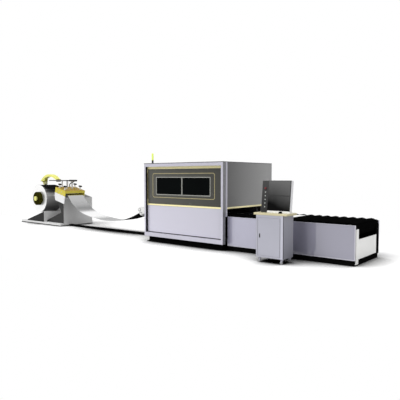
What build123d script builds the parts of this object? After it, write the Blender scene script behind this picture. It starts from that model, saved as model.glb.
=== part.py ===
"""Coil-fed fiber laser cutting line: decoiler and leveller, hanging strip loop,
laser cabin, slat conveyor table and a control console on casters.
Millimetres. +X is the way the strip travels, +Z is up. The origin is the centre
of the cabin's anchor bolt pattern, on the floor."""

import os
from math import acos, asin, atan2, ceil, cos, degrees, radians, sin, sqrt, tan

from build123d import *

os.makedirs("parts", exist_ok=True)

# Clearances
running_gap = 0.05
moving_gap = 0.3
cover_seam = 1.0

# Cabin
cabin_length = 2772
near_aisle = 197
far_aisle = 625
cabin_height = 2200
roof_thickness = 20
cover_thickness = 30
base_height = 160
base_inset = 100
base_rail = 120
foot_size = 180
foot_thickness = 16
anchor_radius = 9

# Cabin front
frame_post = 60
frame_top_bar = 80
frame_bottom_bar = 108
frame_depth = 188
frame_front_lip = 107
frame_groove = 12
frame_groove_depth = 10
side_strip_bottom = 840
panel_setback = 80
trim_bottom = 1030
trim_height = 40
trim_proud = 8
top_trim_height = 34
outline_width = 2196
outline_height = 670
outline_bottom = 1250
outline_corner = 60
outline_line = 14
outline_proud = 3
window_x = -20
window_width = 1930
window_height = 495
window_bottom = 1325
window_corner = 24
window_border = 22
window_mullion = 30
window_proud = 6
glass_thickness = 6

# Strip and pass line
pass_height = 885
strip_width = 650
strip_thickness = 3
strip_end_x = 2970
strip_step = 2.5
feed_bend_length = 40
loop_exit_turn = -37.5
loop_exit_radius = 272
loop_sag_turn = 37
loop_sag_radius = 1627
loop_floor_turn = 11.5
loop_floor_radius = 6040
loop_rise_turn = 29.3
loop_rise_radius = 3500
slot_height = 190
slot_side_room = 60

# Side opening over the table
side_opening_far_y = 620

# Tower light on the roof
tower_x = -1190
tower_y = -1001
tower_radius = 28
tower_stub_height = 90
tower_lens_height = 190
tower_lens_step = 2
tower_flange_radius = 42
tower_flange_height = 10

# Machine bed and gantry inside the cabin
bed_end_room = 86
bed_beam_width = 100
bed_beam_top = 960
bed_tie_height = 100
bed_tie_width = 120
rail_size = 30
rail_end_margin = 50
gantry_beam_width = 160
gantry_beam_height = 150
gantry_wall = 8
truck_length = 260
truck_height = 60
truck_width = 90
carriage_width = 220
carriage_height = 300
carriage_thickness = 30
head_radius = 38
head_body_height = 210
head_slide_width = 70
nozzle_tip_radius = 6
nozzle_length = 60
nozzle_standoff = 30

# Slat conveyor table
table_length = 3180
table_width = 1480
table_panel_bottom = 118
table_panel_top = 840
table_panel_thickness = 30
table_wall = 15
table_panel_border = 24
table_panel_recess = 4
skid_width = 100
skid_height = 100
shelf_width = 40
shelf_thickness = 20
slat_pitch = 210
slat_gap = 4
slat_rise = 35
slat_plate = 5
slat_bends = 4
slat_bar = 15
slat_side_room = 50
wheel_thickness = 20
wheel_inset = 90
conveyor_tail_room = 300
conveyor_shaft_radius = 30
conveyor_end_gap = 163
end_panel_thickness = 20
end_panel_bottom = 126
end_panel_top = 537
end_panel_far_y = 329
near_post_y = -891
near_post_width = 138
near_post_bottom = 30
near_post_top = 749
far_post_top = 760
far_post_bottom = 90

# Strip entry rolls on the cabin's left wall
entry_roll_radius = 65
entry_roll_overhang = 20
entry_journal_radius = 18
entry_arm_offset = 360
entry_arm_thickness = 12
entry_tie_radius = 16
entry_tie_lift = 44

# Floor cable trunking
trunk_width = 150
trunk_height = 60
trunk_centre_y = -176
trunk_chamfer = 20

# Decoiler
platform_left_x = -9214
platform_right_x = -6440
platform_near_y = -597
platform_far_y = 829
platform_height = 100
platform_plate = 14
coil_x = -7950
coil_z = 985
coil_radius = 525
coil_bore_radius = 254
hub_nose = 110
hub_segments = 6
hub_slot_width = 26
hub_slot_depth = 46
hub_cap_radius = 190
hub_cap_thickness = 26
boss_radius = 84
boss_length = 40
spindle_radius = 90
column_near_y = 150
column_far_y = 650
column_top_z = 1250
column_foot_half = 430
column_top_half = 220
brace_plate = 20
brace_top_z = 484
brace_tip_z = 137
brace_length = 1157

# Leveller, tilted down towards the cabin
tilt = 13
leveller_x = -6435
leveller_z = 1249
leveller_near_y = -597
leveller_far_y = 249
leveller_half = 320
head_top = 130
head_bottom = -70
head_plate = 30
head_roof = 20
head_strip_slot_top = 40
cheek_bottom = -350
cheek_chamfer = 75
bed_plate_top = -120
bed_plate_thickness = 20
roll_radius = 36
roll_journal_radius = 18
roll_pitch = 90
roll_face_overhang = 20
screw_radius = 19
screw_height = 118
knob_radius = 52
knob_height = 30
screw_near_y = -497
screw_far_y = 153
screw_back_u = -210
screw_front_u = 130
stand_near_y = -451
stand_far_y = 819
stand_plate = 20
stand_front_plate = 12
stand_far_drop = -215
stand_depth = 400
stand_far_depth = 640
stand_foot_depth = 167
stand_waist_z = 500
stand_shoulder_z = 900
stand_gusset_tip_z = 155

# Hold-down arm over the coil
pivot_x = -7110
pivot_z = 1680
pivot_radius = 20
arm_boss_radius = 48
arm_half_width = 80
arm_left_x = -8250
arm_left_z = 1640
arm_crown_x = -7700
arm_crown_z = 1918
arm_depth = 92
press_roller_radius = 70
press_roller_width = 110
press_roller_angle = 98
press_ear_thickness = 16
press_axle_radius = 14
beam_bar = 36
beam_offset = 112
beam_left_x = -7564
beam_right_x = -6380
beam_cross_length = 60
beam_post_back_x = -6700
beam_post_front_x = -6400
actuator_length = 420
actuator_radius = 34

# Control console
console_x = 3031
console_y = -1503
console_width = 650
console_depth = 444
console_bottom = 110
console_top = 1016
console_wall = 12
door_left_margin = 40
door_hinge_margin = 70
door_bottom_margin = 40
door_top_margin = 60
door_thickness = 20
door_gap = 3
door_hinge_gap = 5
door_pin_radius = 4
door_pin_length = 8
pull_width = 30
pull_lift = 18
pull_height = 92
pull_depth = 9
pull_from_edge = 50
desk_thickness = 45
desk_side_overhang = 72
desk_right_overhang = 84
desk_front_overhang = 4
desk_back_overhang = 6
desk_edge = 8
lean = 6
housing_inset = 12
housing_width = 690
housing_height = 690
housing_depth = 100
housing_front_y = -1551
housing_edge = 4
screen_left = 150
screen_width = 526
screen_recess = 4
lower_screen_bottom = 46
lower_screen_height = 309
upper_screen_bottom = 367
upper_screen_height = 311
control_strip_x = 86
button_radius = 13
button_proud = 7
button_inside = 12
button_travel = 3
button_first = 118
button_pitch = 79
button_count = 5
bore_floor_gap = 1
estop_height = 518
estop_stem_radius = 12
estop_head_radius = 24
estop_head_height = 16
estop_travel = 6
estop_reach = 8
mouse_length = 108
mouse_width = 62
mouse_height = 36
mouse_corner = 26
mouse_taper = 22
mouse_x = 3236
mouse_y = -1630
caster_x = 265
caster_y = 170
caster_radius = 32
caster_width = 22
caster_axle_radius = 5
caster_ear = 4
caster_plate = 6
caster_trail = 14
caster_side_gap = 1

# Worked out
cabin_depth = near_aisle + table_width + far_aisle
half_length = cabin_length / 2
half_depth = cabin_depth / 2
line_y = near_aisle + table_width / 2 - half_depth
bed_length = cabin_length - 2 * bed_end_room
slat_width = table_width - 2 * slat_side_room
front_y = -half_depth
cover_top = cabin_height - roof_thickness
panel_face_y = front_y + panel_setback
inner_half = half_length - frame_post
frame_inner_top = cover_top - frame_top_bar
frame_inner_bottom = base_height + frame_bottom_bar
trim_top = trim_bottom + trim_height
side_start_y = front_y + frame_depth
table_near_y = line_y - table_width / 2
table_far_y = line_y + table_width / 2
table_end_x = half_length + table_length
wheel_apothem = slat_pitch / 2
conveyor_axis_z = pass_height - slat_rise - wheel_apothem
slat_seat_z = pass_height - slat_rise
return_seat_z = conveyor_axis_z - wheel_apothem
return_crest_z = return_seat_z - slat_rise
return_shelf_z = return_crest_z - moving_gap - shelf_thickness / 2
drive_x = table_end_x - conveyor_end_gap
conveyor_links = int((drive_x + half_length - conveyor_tail_room) / slat_pitch)
tail_x = drive_x - conveyor_links * slat_pitch
table_inner_half = table_width / 2 - table_panel_thickness
far_post_y = line_y + table_inner_half


def leveller_point(u, w, y):
    """Point at u along the tilted pass line and w above it."""
    along = Vector(cos(radians(tilt)), 0, -sin(radians(tilt)))
    above = Vector(sin(radians(tilt)), 0, cos(radians(tilt)))
    return Vector(leveller_x, y, leveller_z) + along * u + above * w


def side_plane(y):
    """Sketch plane whose x is +X, y is +Z and normal is -Y."""
    return Plane(origin=(0, y, 0), x_dir=(1, 0, 0), z_dir=(0, -1, 0))


def tilted_plane(y):
    """Leveller sketch plane at y, x along the pass line, normal -Y."""
    return Plane(
        origin=(leveller_x, y, leveller_z),
        x_dir=(cos(radians(tilt)), 0, -sin(radians(tilt))),
        z_dir=(0, -1, 0),
    )


# Cabin plinth with four anchored foot plates
foot_y = half_depth - base_inset - foot_size / 2
anchor_x = half_length - base_inset + foot_size / 4
anchor_y = foot_y
with BuildPart() as cabin_base:
    with BuildSketch():
        Rectangle(cabin_length - 2 * base_inset, cabin_depth - 2 * base_inset)
        Rectangle(
            cabin_length - 2 * base_inset - 2 * base_rail,
            cabin_depth - 2 * base_inset - 2 * base_rail,
            mode=Mode.SUBTRACT,
        )
    extrude(amount=base_height)
    with BuildSketch():
        with GridLocations(2 * anchor_x, 2 * anchor_y, 2, 2):
            Rectangle(foot_size / 2, foot_size)
    extrude(amount=foot_thickness)
    with BuildSketch(Plane.XY.offset(foot_thickness)):
        with GridLocations(2 * anchor_x, 2 * anchor_y, 2, 2):
            Circle(anchor_radius)
    extrude(amount=-foot_thickness, mode=Mode.SUBTRACT)
cabin_base.part.label = "cabin_base"
export_step(cabin_base.part, "parts/cabin_base.step")

# Front frame: deep picture-frame moulding around the front covers
frame_height = cover_top - base_height
frame_mid_z = base_height + frame_height / 2
with BuildPart() as front_frame:
    with BuildSketch(side_plane(front_y)):
        with Locations((0, frame_mid_z)):
            Rectangle(cabin_length, frame_height)
        with Locations((0, (frame_inner_bottom + frame_inner_top) / 2)):
            Rectangle(2 * inner_half, frame_inner_top - frame_inner_bottom, mode=Mode.SUBTRACT)
    extrude(amount=-frame_depth)
    fillet(
        front_frame.edges().filter_by(Axis.Z).group_by(Axis.Y)[0].sort_by(Axis.X)[0:1]
        + front_frame.edges().filter_by(Axis.Z).group_by(Axis.Y)[0].sort_by(Axis.X)[-1:],
        radius=frame_groove,
    )
    with BuildSketch(side_plane(front_y + frame_front_lip)):
        with Locations((0, (base_height + side_strip_bottom) / 2)):
            Rectangle(cabin_length, side_strip_bottom - base_height)
    extrude(amount=-(frame_depth - frame_front_lip), mode=Mode.SUBTRACT)
    with BuildSketch(side_plane(front_y + frame_front_lip)):
        with Locations((0, frame_mid_z)):
            Rectangle(cabin_length, frame_height)
            Rectangle(
                cabin_length - 2 * frame_groove_depth,
                frame_height - 2 * frame_groove_depth,
                mode=Mode.SUBTRACT,
            )
    extrude(amount=-frame_groove, mode=Mode.SUBTRACT)
front_frame.part.label = "front_frame"
export_step(front_frame.part, "parts/front_frame.step")

# Upper front cover with the window cut-out
upper_mid_z = (trim_top + frame_inner_top) / 2
window_mid_z = window_bottom + window_height / 2
with BuildPart() as front_upper_panel:
    with BuildSketch(side_plane(panel_face_y)):
        with Locations((0, upper_mid_z)):
            Rectangle(2 * inner_half, frame_inner_top - trim_top)
        with Locations((window_x, window_mid_z)):
            RectangleRounded(window_width, window_height, window_corner, mode=Mode.SUBTRACT)
    extrude(amount=-cover_thickness)
front_upper_panel.part.label = "front_upper_panel"
export_step(front_upper_panel.part, "parts/front_upper_panel.step")

# Lower front cover, a shallow tray with a returned edge
with BuildPart() as front_lower_panel:
    with BuildSketch(side_plane(panel_face_y)):
        with Locations((0, (frame_inner_bottom + trim_bottom) / 2)):
            Rectangle(2 * inner_half, trim_bottom - frame_inner_bottom)
    extrude(amount=-cover_thickness)
    chamfer(front_lower_panel.faces().sort_by(Axis.Y)[0].edges(), length=cover_seam)
front_lower_panel.part.label = "front_lower_panel"
export_step(front_lower_panel.part, "parts/front_lower_panel.step")

# Bright trims: band under the upper cover, band under the top bar, outline and side band
band_depth = cover_thickness + trim_proud
with BuildPart() as trim_strips:
    with BuildSketch(side_plane(panel_face_y - trim_proud)):
        with Locations((0, trim_bottom + trim_height / 2)):
            Rectangle(2 * inner_half, trim_height)
    extrude(amount=-band_depth)
    with BuildSketch(side_plane(panel_face_y - trim_proud)):
        with Locations((0, frame_inner_top - top_trim_height / 2)):
            Rectangle(2 * inner_half, top_trim_height)
    extrude(amount=-trim_proud)
    with BuildSketch(side_plane(panel_face_y - outline_proud)):
        with Locations((window_x, outline_bottom + outline_height / 2)):
            RectangleRounded(outline_width, outline_height, outline_corner)
            RectangleRounded(
                outline_width - 2 * outline_line,
                outline_height - 2 * outline_line,
                outline_corner - outline_line,
                mode=Mode.SUBTRACT,
            )
    extrude(amount=-outline_proud)
    with BuildSketch(Plane.XY.offset(trim_bottom)):
        with Locations((half_length - cover_thickness / 2, (side_start_y + side_opening_far_y) / 2)):
            Rectangle(cover_thickness, side_opening_far_y - side_start_y)
    extrude(amount=trim_height)
trim_strips.part.label = "trim_strips"
export_step(trim_strips.part, "parts/trim_strips.step")

# Window frame with a mullion, and its two panes
pane_width = (window_width - 2 * window_border - window_mullion) / 2
pane_height = window_height - 2 * window_border
pane_offset = (pane_width + window_mullion) / 2
with BuildPart() as window_frame:
    with BuildSketch(side_plane(panel_face_y - window_proud)):
        with Locations((window_x, window_mid_z)):
            RectangleRounded(window_width, window_height, window_corner)
        with Locations((window_x - pane_offset, window_mid_z), (window_x + pane_offset, window_mid_z)):
            RectangleRounded(pane_width, pane_height, window_corner / 2, mode=Mode.SUBTRACT)
    extrude(amount=-(cover_thickness + window_proud))
window_frame.part.label = "window_frame"
export_step(window_frame.part, "parts/window_frame.step")

with BuildPart() as window_glass:
    with BuildSketch(side_plane(panel_face_y + glass_thickness)):
        with Locations((window_x - pane_offset, window_mid_z), (window_x + pane_offset, window_mid_z)):
            RectangleRounded(pane_width, pane_height, window_corner / 2)
    extrude(amount=-glass_thickness)
window_glass.part.label = "window_glass"
export_step(window_glass.part, "parts/window_glass.step")

# Right side cover: full height behind the table, raised over the table opening
with BuildPart() as right_side_panel:
    with BuildSketch(Plane.YZ.offset(half_length - cover_thickness)):
        with BuildLine():
            Polyline(
                (side_start_y, trim_top),
                (side_opening_far_y, trim_top),
                (side_opening_far_y, base_height),
                (half_depth, base_height),
                (half_depth, cover_top),
                (side_start_y, cover_top),
                close=True,
            )
        make_face()
    extrude(amount=cover_thickness)
right_side_panel.part.label = "right_side_panel"
export_step(right_side_panel.part, "parts/right_side_panel.step")

# Left side cover with the strip slot
with BuildPart() as left_side_panel:
    with BuildSketch(Plane.YZ.offset(-half_length)):
        with BuildLine():
            Polyline(
                (front_y + frame_front_lip, base_height),
                (half_depth, base_height),
                (half_depth, cover_top),
                (side_start_y, cover_top),
                (side_start_y, side_strip_bottom),
                (front_y + frame_front_lip, side_strip_bottom),
                close=True,
            )
        make_face()
        with Locations((line_y, pass_height)):
            Rectangle(strip_width + 2 * slot_side_room, slot_height, mode=Mode.SUBTRACT)
    extrude(amount=cover_thickness)
left_side_panel.part.label = "left_side_panel"
export_step(left_side_panel.part, "parts/left_side_panel.step")

# Rear cover between the side covers, and the roof
with BuildPart() as rear_panel:
    with BuildSketch(side_plane(half_depth - cover_thickness)):
        with Locations((0, frame_mid_z)):
            Rectangle(cabin_length - 2 * cover_thickness, frame_height)
    extrude(amount=-cover_thickness)
rear_panel.part.label = "rear_panel"
export_step(rear_panel.part, "parts/rear_panel.step")

with BuildPart() as roof_panel:
    with BuildSketch(Plane.XY.offset(cover_top)):
        Rectangle(cabin_length, cabin_depth)
    extrude(amount=roof_thickness)
    chamfer(roof_panel.faces().sort_by(Axis.Z)[-1].edges(), length=roof_thickness / 4)
roof_panel.part.label = "roof_panel"
export_step(roof_panel.part, "parts/roof_panel.step")

# Tower light
tower_plane = Plane(origin=(tower_x, tower_y, cabin_height))
with BuildPart() as tower_light:
    with BuildSketch(tower_plane):
        Circle(tower_flange_radius)
    extrude(amount=tower_flange_height)
    with BuildSketch(tower_plane.offset(tower_flange_height)):
        Circle(tower_radius - tower_lens_step)
    extrude(amount=tower_stub_height - tower_flange_height)
    with BuildSketch(tower_plane.offset(tower_stub_height)):
        Circle(tower_radius)
    extrude(amount=tower_lens_height)
    chamfer(tower_light.faces().sort_by(Axis.Z)[-1].edges(), length=tower_radius / 3)
tower_light.part.label = "tower_light"
export_step(tower_light.part, "parts/tower_light.step")

# Machine bed: two box beams with conveyor shelves, ties, rails and the tail shaft
bed_inner_half = slat_width / 2 + shelf_width / 2 + slat_gap
bed_beam_offset = bed_inner_half + bed_beam_width / 2
shelf_reach = bed_inner_half - slat_width / 2 + shelf_width / 2
rail_z = bed_beam_top + rail_size
with BuildPart() as machine_bed:
    with BuildSketch(Plane.YZ.offset(-bed_length / 2)):
        for side in (-1, 1):
            with Locations((line_y + side * bed_beam_offset, (base_height + bed_beam_top) / 2)):
                Rectangle(bed_beam_width, bed_beam_top - base_height)
    extrude(amount=bed_length)
    with BuildSketch(Plane.YZ.offset(tail_x + table_wall)):
        for side in (-1, 1):
            shelf_y = line_y + side * (bed_inner_half - shelf_reach / 2)
            with Locations((shelf_y, slat_seat_z - shelf_thickness / 2)):
                Rectangle(shelf_reach, shelf_thickness)
            with Locations((shelf_y, return_shelf_z)):
                Rectangle(shelf_reach, shelf_thickness)
    extrude(amount=bed_length / 2 - tail_x - table_wall)
    with BuildSketch(Plane.XY.offset(base_height)):
        with GridLocations(bed_length / 3, 1, 3, 1):
            with Locations((0, line_y)):
                Rectangle(bed_tie_width, 2 * bed_inner_half)
    extrude(amount=bed_tie_height)
    with BuildSketch(Plane.XY.offset(bed_beam_top)):
        for side in (-1, 1):
            with Locations((0, line_y + side * bed_beam_offset)):
                Rectangle(bed_length - 2 * rail_end_margin, rail_size)
    extrude(amount=rail_size)
    with BuildSketch(side_plane(line_y - bed_beam_offset)):
        with Locations((tail_x, conveyor_axis_z)):
            Circle(conveyor_shaft_radius)
    extrude(amount=-2 * bed_beam_offset)
    for side in (-1, 1):
        with BuildSketch(side_plane(line_y + side * (slat_width / 2 - wheel_inset) - wheel_thickness / 2)):
            with Locations((tail_x, conveyor_axis_z)):
                Circle(wheel_apothem - moving_gap)
        extrude(amount=-wheel_thickness)
machine_bed.part.label = "machine_bed"
export_step(machine_bed.part, "parts/machine_bed.step")

# Gantry beam: a box tube on two trucks that straddle the rails
truck_z = rail_z - rail_size / 2
beam_bottom = truck_z + truck_height
with BuildPart() as gantry_beam:
    with BuildSketch(Plane.XZ.offset(-(line_y - bed_beam_offset - truck_width / 2))):
        with Locations((0, beam_bottom + gantry_beam_height / 2)):
            Rectangle(gantry_beam_width, gantry_beam_height)
            Rectangle(
                gantry_beam_width - 2 * gantry_wall,
                gantry_beam_height - 2 * gantry_wall,
                mode=Mode.SUBTRACT,
            )
    extrude(amount=-(2 * bed_beam_offset + truck_width))
    for side in (-1, 1):
        with BuildSketch(Plane.YZ.offset(-truck_length / 2)):
            with Locations((line_y + side * bed_beam_offset, truck_z + truck_height / 2)):
                Rectangle(truck_width, truck_height)
            with Locations((line_y + side * bed_beam_offset, rail_z - rail_size / 2 + moving_gap / 2)):
                Rectangle(rail_size + 2 * moving_gap, rail_size + moving_gap, mode=Mode.SUBTRACT)
        extrude(amount=truck_length)
gantry_beam.part.label = "gantry_beam"
export_step(gantry_beam.part, "parts/gantry_beam.step")

# Carriage on the beam's strip side face, and the cutting head on it
carriage_x = gantry_beam_width / 2 + moving_gap
carriage_bottom = beam_bottom - (carriage_height - gantry_beam_height) / 2
head_x = carriage_x + carriage_thickness + moving_gap + head_radius
nozzle_tip_z = pass_height + strip_thickness + nozzle_standoff
head_bottom_z = nozzle_tip_z + nozzle_length
with BuildPart() as head_carriage:
    with BuildSketch(Plane.YZ.offset(carriage_x)):
        with Locations((line_y, carriage_bottom + carriage_height / 2)):
            RectangleRounded(carriage_width, carriage_height, carriage_thickness / 2)
    extrude(amount=carriage_thickness)
head_carriage.part.label = "head_carriage"
export_step(head_carriage.part, "parts/head_carriage.step")

with BuildPart() as cutting_head:
    with BuildSketch(Plane.XY.offset(head_bottom_z)):
        with Locations((head_x, line_y)):
            Circle(head_radius)
        with Locations((head_x - head_radius / 2, line_y)):
            Rectangle(head_radius, head_slide_width)
    extrude(amount=head_body_height)
    with BuildSketch(Plane.XY.offset(head_bottom_z)):
        with Locations((head_x, line_y)):
            Circle(head_radius - carriage_thickness / 3)
    with BuildSketch(Plane.XY.offset(nozzle_tip_z)):
        with Locations((head_x, line_y)):
            Circle(nozzle_tip_radius)
    loft()
cutting_head.part.label = "cutting_head"
export_step(cutting_head.part, "parts/cutting_head.step")

# Table frame: two side walls with shelves on skids, ties and the far end post
table_wall_offset = table_inner_half - table_wall / 2
table_shelf_reach = table_inner_half - table_wall - slat_width / 2 + shelf_width / 2
table_shelf_offset = table_inner_half - table_wall - table_shelf_reach / 2
shelf_end_x = drive_x - table_wall
frame_start_x = half_length + cover_seam
frame_end_x = table_end_x - end_panel_thickness
with BuildPart() as table_frame:
    for side in (-1, 1):
        with BuildSketch(Plane.YZ.offset(frame_start_x)):
            with Locations((line_y + side * table_wall_offset, (skid_height + slat_seat_z) / 2)):
                Rectangle(table_wall, slat_seat_z - skid_height)
            with Locations((line_y + side * (table_inner_half - skid_width / 2), skid_height / 2)):
                Rectangle(skid_width, skid_height)
        extrude(amount=frame_end_x - frame_start_x)
        with BuildSketch(Plane.YZ.offset(frame_start_x)):
            with Locations((line_y + side * table_shelf_offset, slat_seat_z - shelf_thickness / 2)):
                Rectangle(table_shelf_reach, shelf_thickness)
            with Locations((line_y + side * table_shelf_offset, return_shelf_z)):
                Rectangle(table_shelf_reach, shelf_thickness)
        extrude(amount=shelf_end_x - frame_start_x)
    with BuildSketch():
        with Locations(((frame_start_x + frame_end_x) / 2, line_y)):
            with GridLocations((frame_end_x - frame_start_x - skid_width) / 3, 1, 4, 1):
                Rectangle(skid_width, 2 * table_inner_half)
    extrude(amount=skid_height)
    with BuildSketch(Plane.YZ.offset(frame_end_x)):
        with Locations(((end_panel_far_y + far_post_y) / 2, (far_post_bottom + far_post_top) / 2)):
            Rectangle(far_post_y - end_panel_far_y, far_post_top - far_post_bottom)
    extrude(amount=end_panel_thickness)
    with BuildSketch(side_plane(table_near_y)):
        with Locations((drive_x, conveyor_axis_z)):
            Circle(conveyor_shaft_radius + running_gap)
    extrude(amount=-table_width, mode=Mode.SUBTRACT)
table_frame.part.label = "table_frame"
export_step(table_frame.part, "parts/table_frame.step")

# Table side covers, trays with a raised border
for cover_name, cover_y, outward in (
    ("table_front_panel", table_near_y, -1),
    ("table_rear_panel", table_far_y, 1),
):
    cover_plane = Plane(
        origin=((frame_start_x + table_end_x) / 2, cover_y, (table_panel_bottom + table_panel_top) / 2),
        x_dir=(-outward, 0, 0),
        z_dir=(0, outward, 0),
    )
    cover_length = table_end_x - frame_start_x
    cover_height = table_panel_top - table_panel_bottom
    with BuildPart() as table_cover:
        with BuildSketch(cover_plane):
            Rectangle(cover_length, cover_height)
        extrude(amount=-table_panel_thickness)
        with BuildSketch(cover_plane):
            Rectangle(cover_length - 2 * table_panel_border, cover_height - 2 * table_panel_border)
        extrude(amount=-table_panel_recess, mode=Mode.SUBTRACT)
    table_cover.part.label = cover_name
    export_step(table_cover.part, f"parts/{cover_name}.step")

# Table end cover: one folded sheet, low across the end and tall at the near post
with BuildPart() as table_end_panel:
    with BuildSketch(Plane.YZ.offset(frame_end_x)):
        with BuildLine():
            Polyline(
                (near_post_y, near_post_bottom),
                (near_post_y + near_post_width, near_post_bottom),
                (near_post_y + near_post_width, end_panel_bottom),
                (end_panel_far_y, end_panel_bottom),
                (end_panel_far_y, end_panel_top),
                (near_post_y + near_post_width, end_panel_top),
                (near_post_y + near_post_width, near_post_top),
                (near_post_y, near_post_top),
                close=True,
            )
        make_face()
    extrude(amount=end_panel_thickness)
table_end_panel.part.label = "table_end_panel"
export_step(table_end_panel.part, "parts/table_end_panel.step")

# Conveyor slats: a closed run of pressed arches joined by hinge bars, one upright at each end
slat_half = (slat_pitch - slat_gap) / 2


def arch(half, rise):
    """Points of a circular arch of that half width and rise, from left to right."""
    radius = (half**2 + rise**2) / (2 * rise)
    reach = asin(half / radius)
    swings = [reach * (2 * bend / slat_bends - 1) for bend in range(slat_bends + 1)]
    return [(radius * sin(swing), rise + radius * (cos(swing) - 1)) for swing in swings]


slat_outline = [*arch(slat_half, slat_rise), *reversed(arch(slat_half - slat_plate, slat_rise - slat_plate))]
slat_places = [
    (drive_x + wheel_apothem, conveyor_axis_z, -90),
    (tail_x - wheel_apothem, conveyor_axis_z, 90),
]
for link in range(conveyor_links + 1):
    slat_places.append((drive_x - slat_pitch * link, slat_seat_z, 0))
    slat_places.append((drive_x - slat_pitch * link, return_seat_z, 180))
bar_places = []
for link in range(conveyor_links):
    hinge_line = drive_x - slat_pitch * (link + 0.5)
    bar_places.append((hinge_line, slat_seat_z + slat_bar / 2))
    bar_places.append((hinge_line, return_seat_z - slat_bar / 2))
for corner_x in (drive_x + wheel_apothem + slat_bar / 4, tail_x - wheel_apothem - slat_bar / 4):
    bar_places.append((corner_x, slat_seat_z + slat_bar / 4))
    bar_places.append((corner_x, return_seat_z - slat_bar / 4))
with BuildPart() as conveyor_slats:
    with BuildSketch(side_plane(line_y - slat_width / 2)):
        with Locations(*bar_places):
            Rectangle(slat_bar, slat_bar)
        for slat_x, slat_z, slat_turn in slat_places:
            with Locations(Location((slat_x, slat_z), slat_turn)):
                with BuildSketch(mode=Mode.PRIVATE) as slat_profile:
                    with BuildLine():
                        Polyline(*slat_outline, close=True)
                    make_face()
                add(slat_profile.sketch)
    extrude(amount=-slat_width)
conveyor_slats.part.label = "conveyor_slats"
export_step(conveyor_slats.part, "parts/conveyor_slats.step")

# Conveyor drive shaft with two chain wheels
wheel_offset = slat_width / 2 - wheel_inset
wheel_radius = wheel_apothem - moving_gap
drive_half = table_width / 2 - table_panel_thickness
with BuildPart() as drive_shaft:
    with BuildSketch(side_plane(line_y - drive_half)):
        with Locations((drive_x, conveyor_axis_z)):
            Circle(conveyor_shaft_radius)
    extrude(amount=-2 * drive_half)
    for side in (-1, 1):
        with BuildSketch(side_plane(line_y + side * wheel_offset - wheel_thickness / 2)):
            with Locations((drive_x, conveyor_axis_z)):
                Circle(wheel_radius)
        extrude(amount=-wheel_thickness)
drive_shaft.part.label = "drive_shaft"
export_step(drive_shaft.part, "parts/drive_shaft.step")

# Path of the strip's underside, from the coil to the start of the level run
entry_point = leveller_point(-leveller_half, 0, 0)
exit_point = leveller_point(leveller_half, 0, 0)
feed_distance = sqrt((entry_point.X - coil_x) ** 2 + (entry_point.Z - coil_z) ** 2)
feed_angle = degrees(atan2(entry_point.Z - coil_z, entry_point.X - coil_x))
leave_radius = coil_radius + moving_gap
leave_angle = feed_angle + degrees(acos(leave_radius / feed_distance))
leave_point = (
    coil_x + leave_radius * cos(radians(leave_angle)),
    coil_z + leave_radius * sin(radians(leave_angle)),
)
feed_heading = (Vector(entry_point.X, entry_point.Z) - Vector(*leave_point)).normalized()
feed_turn = -tilt - degrees(atan2(feed_heading.Y, feed_heading.X))
feed_start = Vector(entry_point.X, entry_point.Z) - feed_heading * feed_bend_length / 2
feed_bend = JernArc(
    start=feed_start,
    tangent=feed_heading,
    radius=feed_bend_length / radians(abs(feed_turn)),
    arc_size=feed_turn,
)
loop_start = Vector(exit_point.X, exit_point.Z)
loop_arcs = []
arc_start = loop_start
arc_heading = Vector(cos(radians(tilt)), -sin(radians(tilt)))
loop_turns = [
    (loop_exit_turn, loop_exit_radius),
    (loop_sag_turn, loop_sag_radius),
    (loop_floor_turn, loop_floor_radius),
    (loop_rise_turn, loop_rise_radius),
]
for turn, radius in loop_turns:
    loop_arcs.append(JernArc(start=arc_start, tangent=arc_heading, radius=radius, arc_size=turn))
    arc_start = loop_arcs[-1] @ 1
    arc_heading = loop_arcs[-1] % 1
pinch_point = arc_start
pinch_heading = arc_heading
level_radius = (pass_height - pinch_point.Y) / (1 - pinch_heading.X)
level_arc = JernArc(
    start=pinch_point,
    tangent=pinch_heading,
    radius=level_radius,
    arc_size=-degrees(atan2(pinch_heading.Y, pinch_heading.X)),
)
strip_stations = [(Vector(*leave_point), feed_heading)]
for arc, turn in [
    (feed_bend, feed_turn),
    *((arc, turn) for arc, (turn, radius) in zip(loop_arcs, loop_turns)),
    (level_arc, degrees(atan2(pinch_heading.Y, pinch_heading.X))),
]:
    steps = ceil(abs(turn) / strip_step)
    for step in range(steps + 1):
        station = (arc @ (step / steps), arc % (step / steps))
        if (station[0] - strip_stations[-1][0]).length > strip_thickness:
            strip_stations.append(station)
strip_stations.append((Vector(strip_end_x, pass_height), Vector(1, 0)))
strip_under = [(point.X, point.Y) for point, heading in strip_stations]
strip_over = [
    (point.X - strip_thickness * heading.Y, point.Y + strip_thickness * heading.X)
    for point, heading in strip_stations
]

# Entry rolls: a pinch pair that turns the hanging strip level, on two arms
lower_reach = entry_roll_radius + moving_gap
upper_reach = entry_roll_radius + moving_gap + strip_thickness
entry_lower = (
    pinch_point.X + pinch_heading.Y * lower_reach,
    pinch_point.Y - pinch_heading.X * lower_reach,
)
entry_upper = (
    pinch_point.X - pinch_heading.Y * upper_reach,
    pinch_point.Y + pinch_heading.X * upper_reach,
)
entry_half = strip_width / 2 + entry_roll_overhang
for roll_name, roll_centre in (("entry_lower_roll", entry_lower), ("entry_upper_roll", entry_upper)):
    with BuildPart() as entry_roll:
        with BuildSketch(side_plane(line_y - entry_arm_offset - entry_arm_thickness)):
            with Locations(roll_centre):
                Circle(entry_journal_radius)
        extrude(amount=-2 * (entry_arm_offset + entry_arm_thickness))
        with BuildSketch(side_plane(line_y - entry_half)):
            with Locations(roll_centre):
                Circle(entry_roll_radius)
        extrude(amount=-2 * entry_half)
    entry_roll.part.label = roll_name
    export_step(entry_roll.part, f"parts/{roll_name}.step")

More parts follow.
